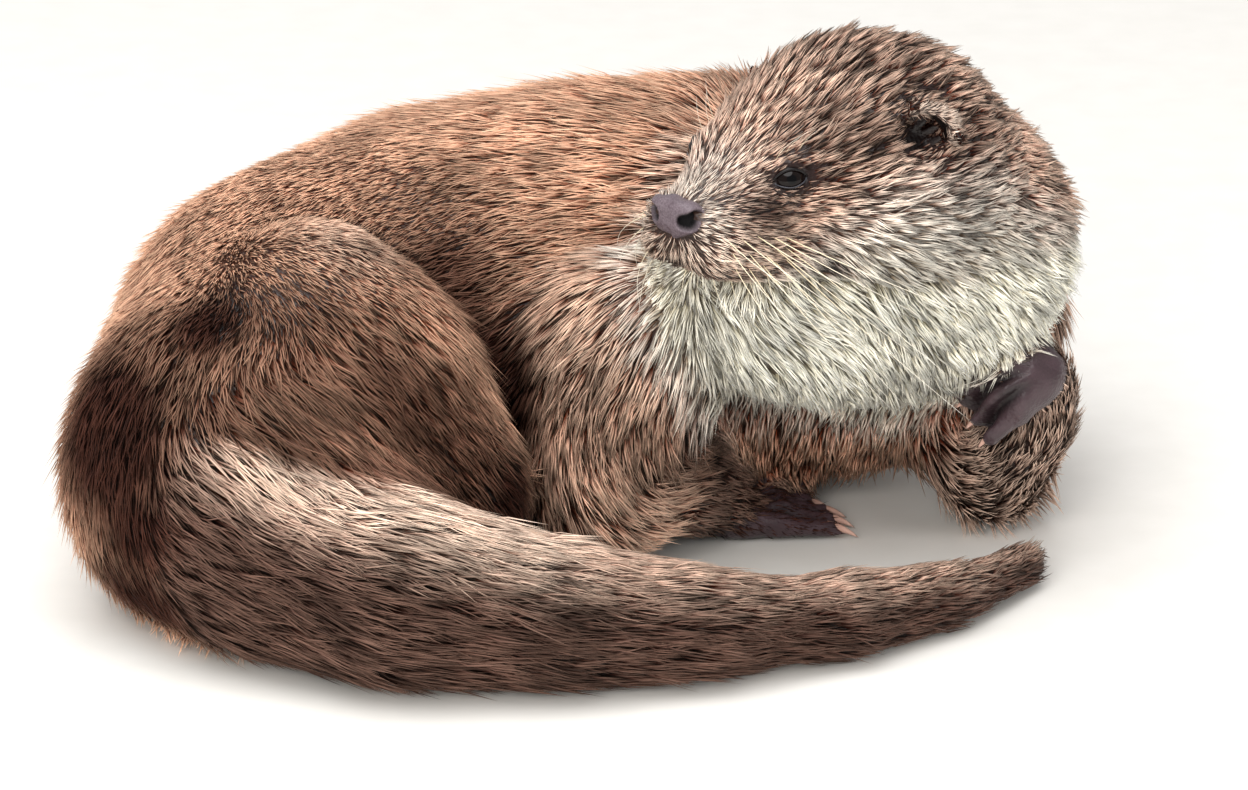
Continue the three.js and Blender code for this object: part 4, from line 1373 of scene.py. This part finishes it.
def whisker_set(skin):
    """Root, first way, last way, length and thickness of every whisker, in the head's frame."""
    rows = []
    for hand in (1, -1):
        for row in range(3):
            for k in range(5):
                t = k / 4
                root = (25 - 5.2 * k - 1.5 * row, (17 + 2 * t) * hand, -18 - 4.2 * row - 1.5 * t)
                first = (0.05 - 0.5 * t, 0.8 * hand, -0.35 - 0.22 * row)
                last = (-0.6 - 0.15 * t, 0.5 * hand, -0.5 - 0.25 * row)
                length = (46 + 34 * t) * rng.uniform(0.75, 1.05)
                rows.append((root, first, last, length, 0.2))
        for k in range(5):
            root = (22 - 6 * k, (6 + 3 * k) * hand, -38)
            rows.append((root, (0.1, 0.4 * hand, -1), (-0.4, 0.2 * hand, -0.8), rng.uniform(13, 22), 0.16))
        for k in range(3):
            root = (4 - 5 * k, 18 * hand, 6)
            rows.append((root, (0.1, 0.5 * hand, 0.8), (-0.6, 0.5 * hand, 0.4), rng.uniform(12, 18), 0.08))
    h = to_head(skin.p)
    tree = tree_of(h)
    return [(h[tree.find(root)[1]], *rest) for root, *rest in rows]


def make_whiskers(skin, finish):
    """Every whisker as a long thin horn that bends once."""
    along = np.arange(12) / 12
    whiskers = Horns()
    for root, first, last, length, thick in whisker_set(skin):
        first, last = unit(np.array(first, float)), unit(np.array(last, float))
        last = unit(last + rng.normal(size=3) * 0.08)
        bend = root + first * length * 0.45
        end = bend + last * length * 0.6
        start = root - first
        rings = []
        for t in along:
            middle = start * (1 - t) ** 2 + bend * 2 * t * (1 - t) + end * t * t
            ahead = unit((bend - start) * (1 - t) + (end - bend) * t)
            across = unit(np.cross(ahead, UP))
            half = thick * (1 - 0.85 * t)
            rings.append(ring(middle, across * half, np.cross(across, ahead) * half, 4))
        whiskers.add(rings, start, end, along)
    points = from_head(np.array(whiskers.points))
    finished_piece("whiskers", points, whiskers.faces, finish, {"along": whiskers.share})


# ---------------------------------------------------------------- the making
skin = Skin()
skin.mesh.materials.append(bare_skin())
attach(skin.object, "root")
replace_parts(skin.object, *PARTS)

coat_finish = guard_hair()
Tufts(skin, GUARD_HAIR).grow("coat_locks", coat_finish)
Tufts(skin, UNDERCOAT).grow("coat_hairs", coat_finish)

eye_finish = wet_eye()
lid_finish = lid_skin()
for side in EYES:
    make_eye(side, eye_finish, lid_finish)
make_nose(nose_leather())
horn = claw_horn()
for name, foot in FEET.items():
    make_claws(f"claws_{name}", horn, foot)
make_whiskers(skin, whisker_hair())

# ---------------------------------------------------------------- floor, light and camera
CAMERA_LOOKS_AT = (0.0, 120.0, 60.96)  # drawing mm
CAMERA_DISTANCE = 3.0
CAMERA_RISE = math.radians(20)
CAMERA_LENS = 259.6
SENSOR_WIDTH = 36.0


def make_floor():
    """A plain pale studio floor, painted board with a faint tooth."""
    finish, tree = new_finish("pale_painted_floor")
    place = add(tree, "ShaderNodeTexCoord").outputs["Object"]
    tooth = add(tree, "ShaderNodeTexNoise", {"Vector": place, "Scale": scale(BOARD_TOOTH), "Detail": 5.0})
    shades = {SHARE: tooth.outputs["Fac"], FIRST: "#d8d6d1", SECOND: "#e2e0dc"}
    board = add(tree, "ShaderNodeMix", shades, data_type="RGBA").outputs[MIXED]
    give_surface(tree, {"Base Color": board, "Roughness": 0.8})
    half = 6.0  # metres
    corners = [(-half, -half, 0), (half, -half, 0), (half, half, 0), (-half, half, 0)]
    mesh = bpy.data.meshes.new("floor")
    mesh.from_pydata(corners, [], [(0, 1, 2, 3)])
    new_object("floor", mesh, finish)


def aimed(name, data, place, target):
    """A lamp or camera at a place, looking at a target."""
    made = bpy.data.objects.new(name, data)
    scene.collection.objects.link(made)
    made.location = place
    made.rotation_euler = (target - place).to_track_quat("-Z", "Y").to_euler()
    return made


def make_light(name, place, size, power, shade, seen=True):
    """A round soft light. One that is not seen leaves no reflection in the eyes."""
    data = bpy.data.lights.new(name, "AREA")
    data.shape = "DISK"
    data.size = size
    data.energy = power
    data.color = colour(shade)[:3]
    lamp = aimed(name, data, Vector(place), Vector((0, 0, 0.08)))
    lamp.visible_glossy = seen


def make_sky():
    world = bpy.data.worlds.new("studio")
    world.use_nodes = True
    sky = world.node_tree.nodes["Background"]
    sky.inputs["Color"].default_value = colour("#e6e7e9")
    sky.inputs["Strength"].default_value = 0.5
    scene.world = world


def make_camera():
    data = bpy.data.cameras.new("camera")
    data.lens = CAMERA_LENS
    data.sensor_width = SENSOR_WIDTH
    target = Vector(to_metres(CAMERA_LOOKS_AT))
    offset = Vector((0, -math.cos(CAMERA_RISE), math.sin(CAMERA_RISE))) * CAMERA_DISTANCE
    scene.camera = aimed("camera", data, target + offset, target)


make_floor()
make_light("overhead", (-0.3, -0.5, 1.9), 2.4, 60, "#fffefd")
make_light("front", (-0.4, -1.9, 0.8), 1.4, 40, "#fffbf6", seen=False)
make_light("side", (1.8, -0.9, 0.6), 1.2, 14, "#fffcfa", seen=False)
make_sky()
make_camera()
scene.view_settings.view_transform = "Standard"
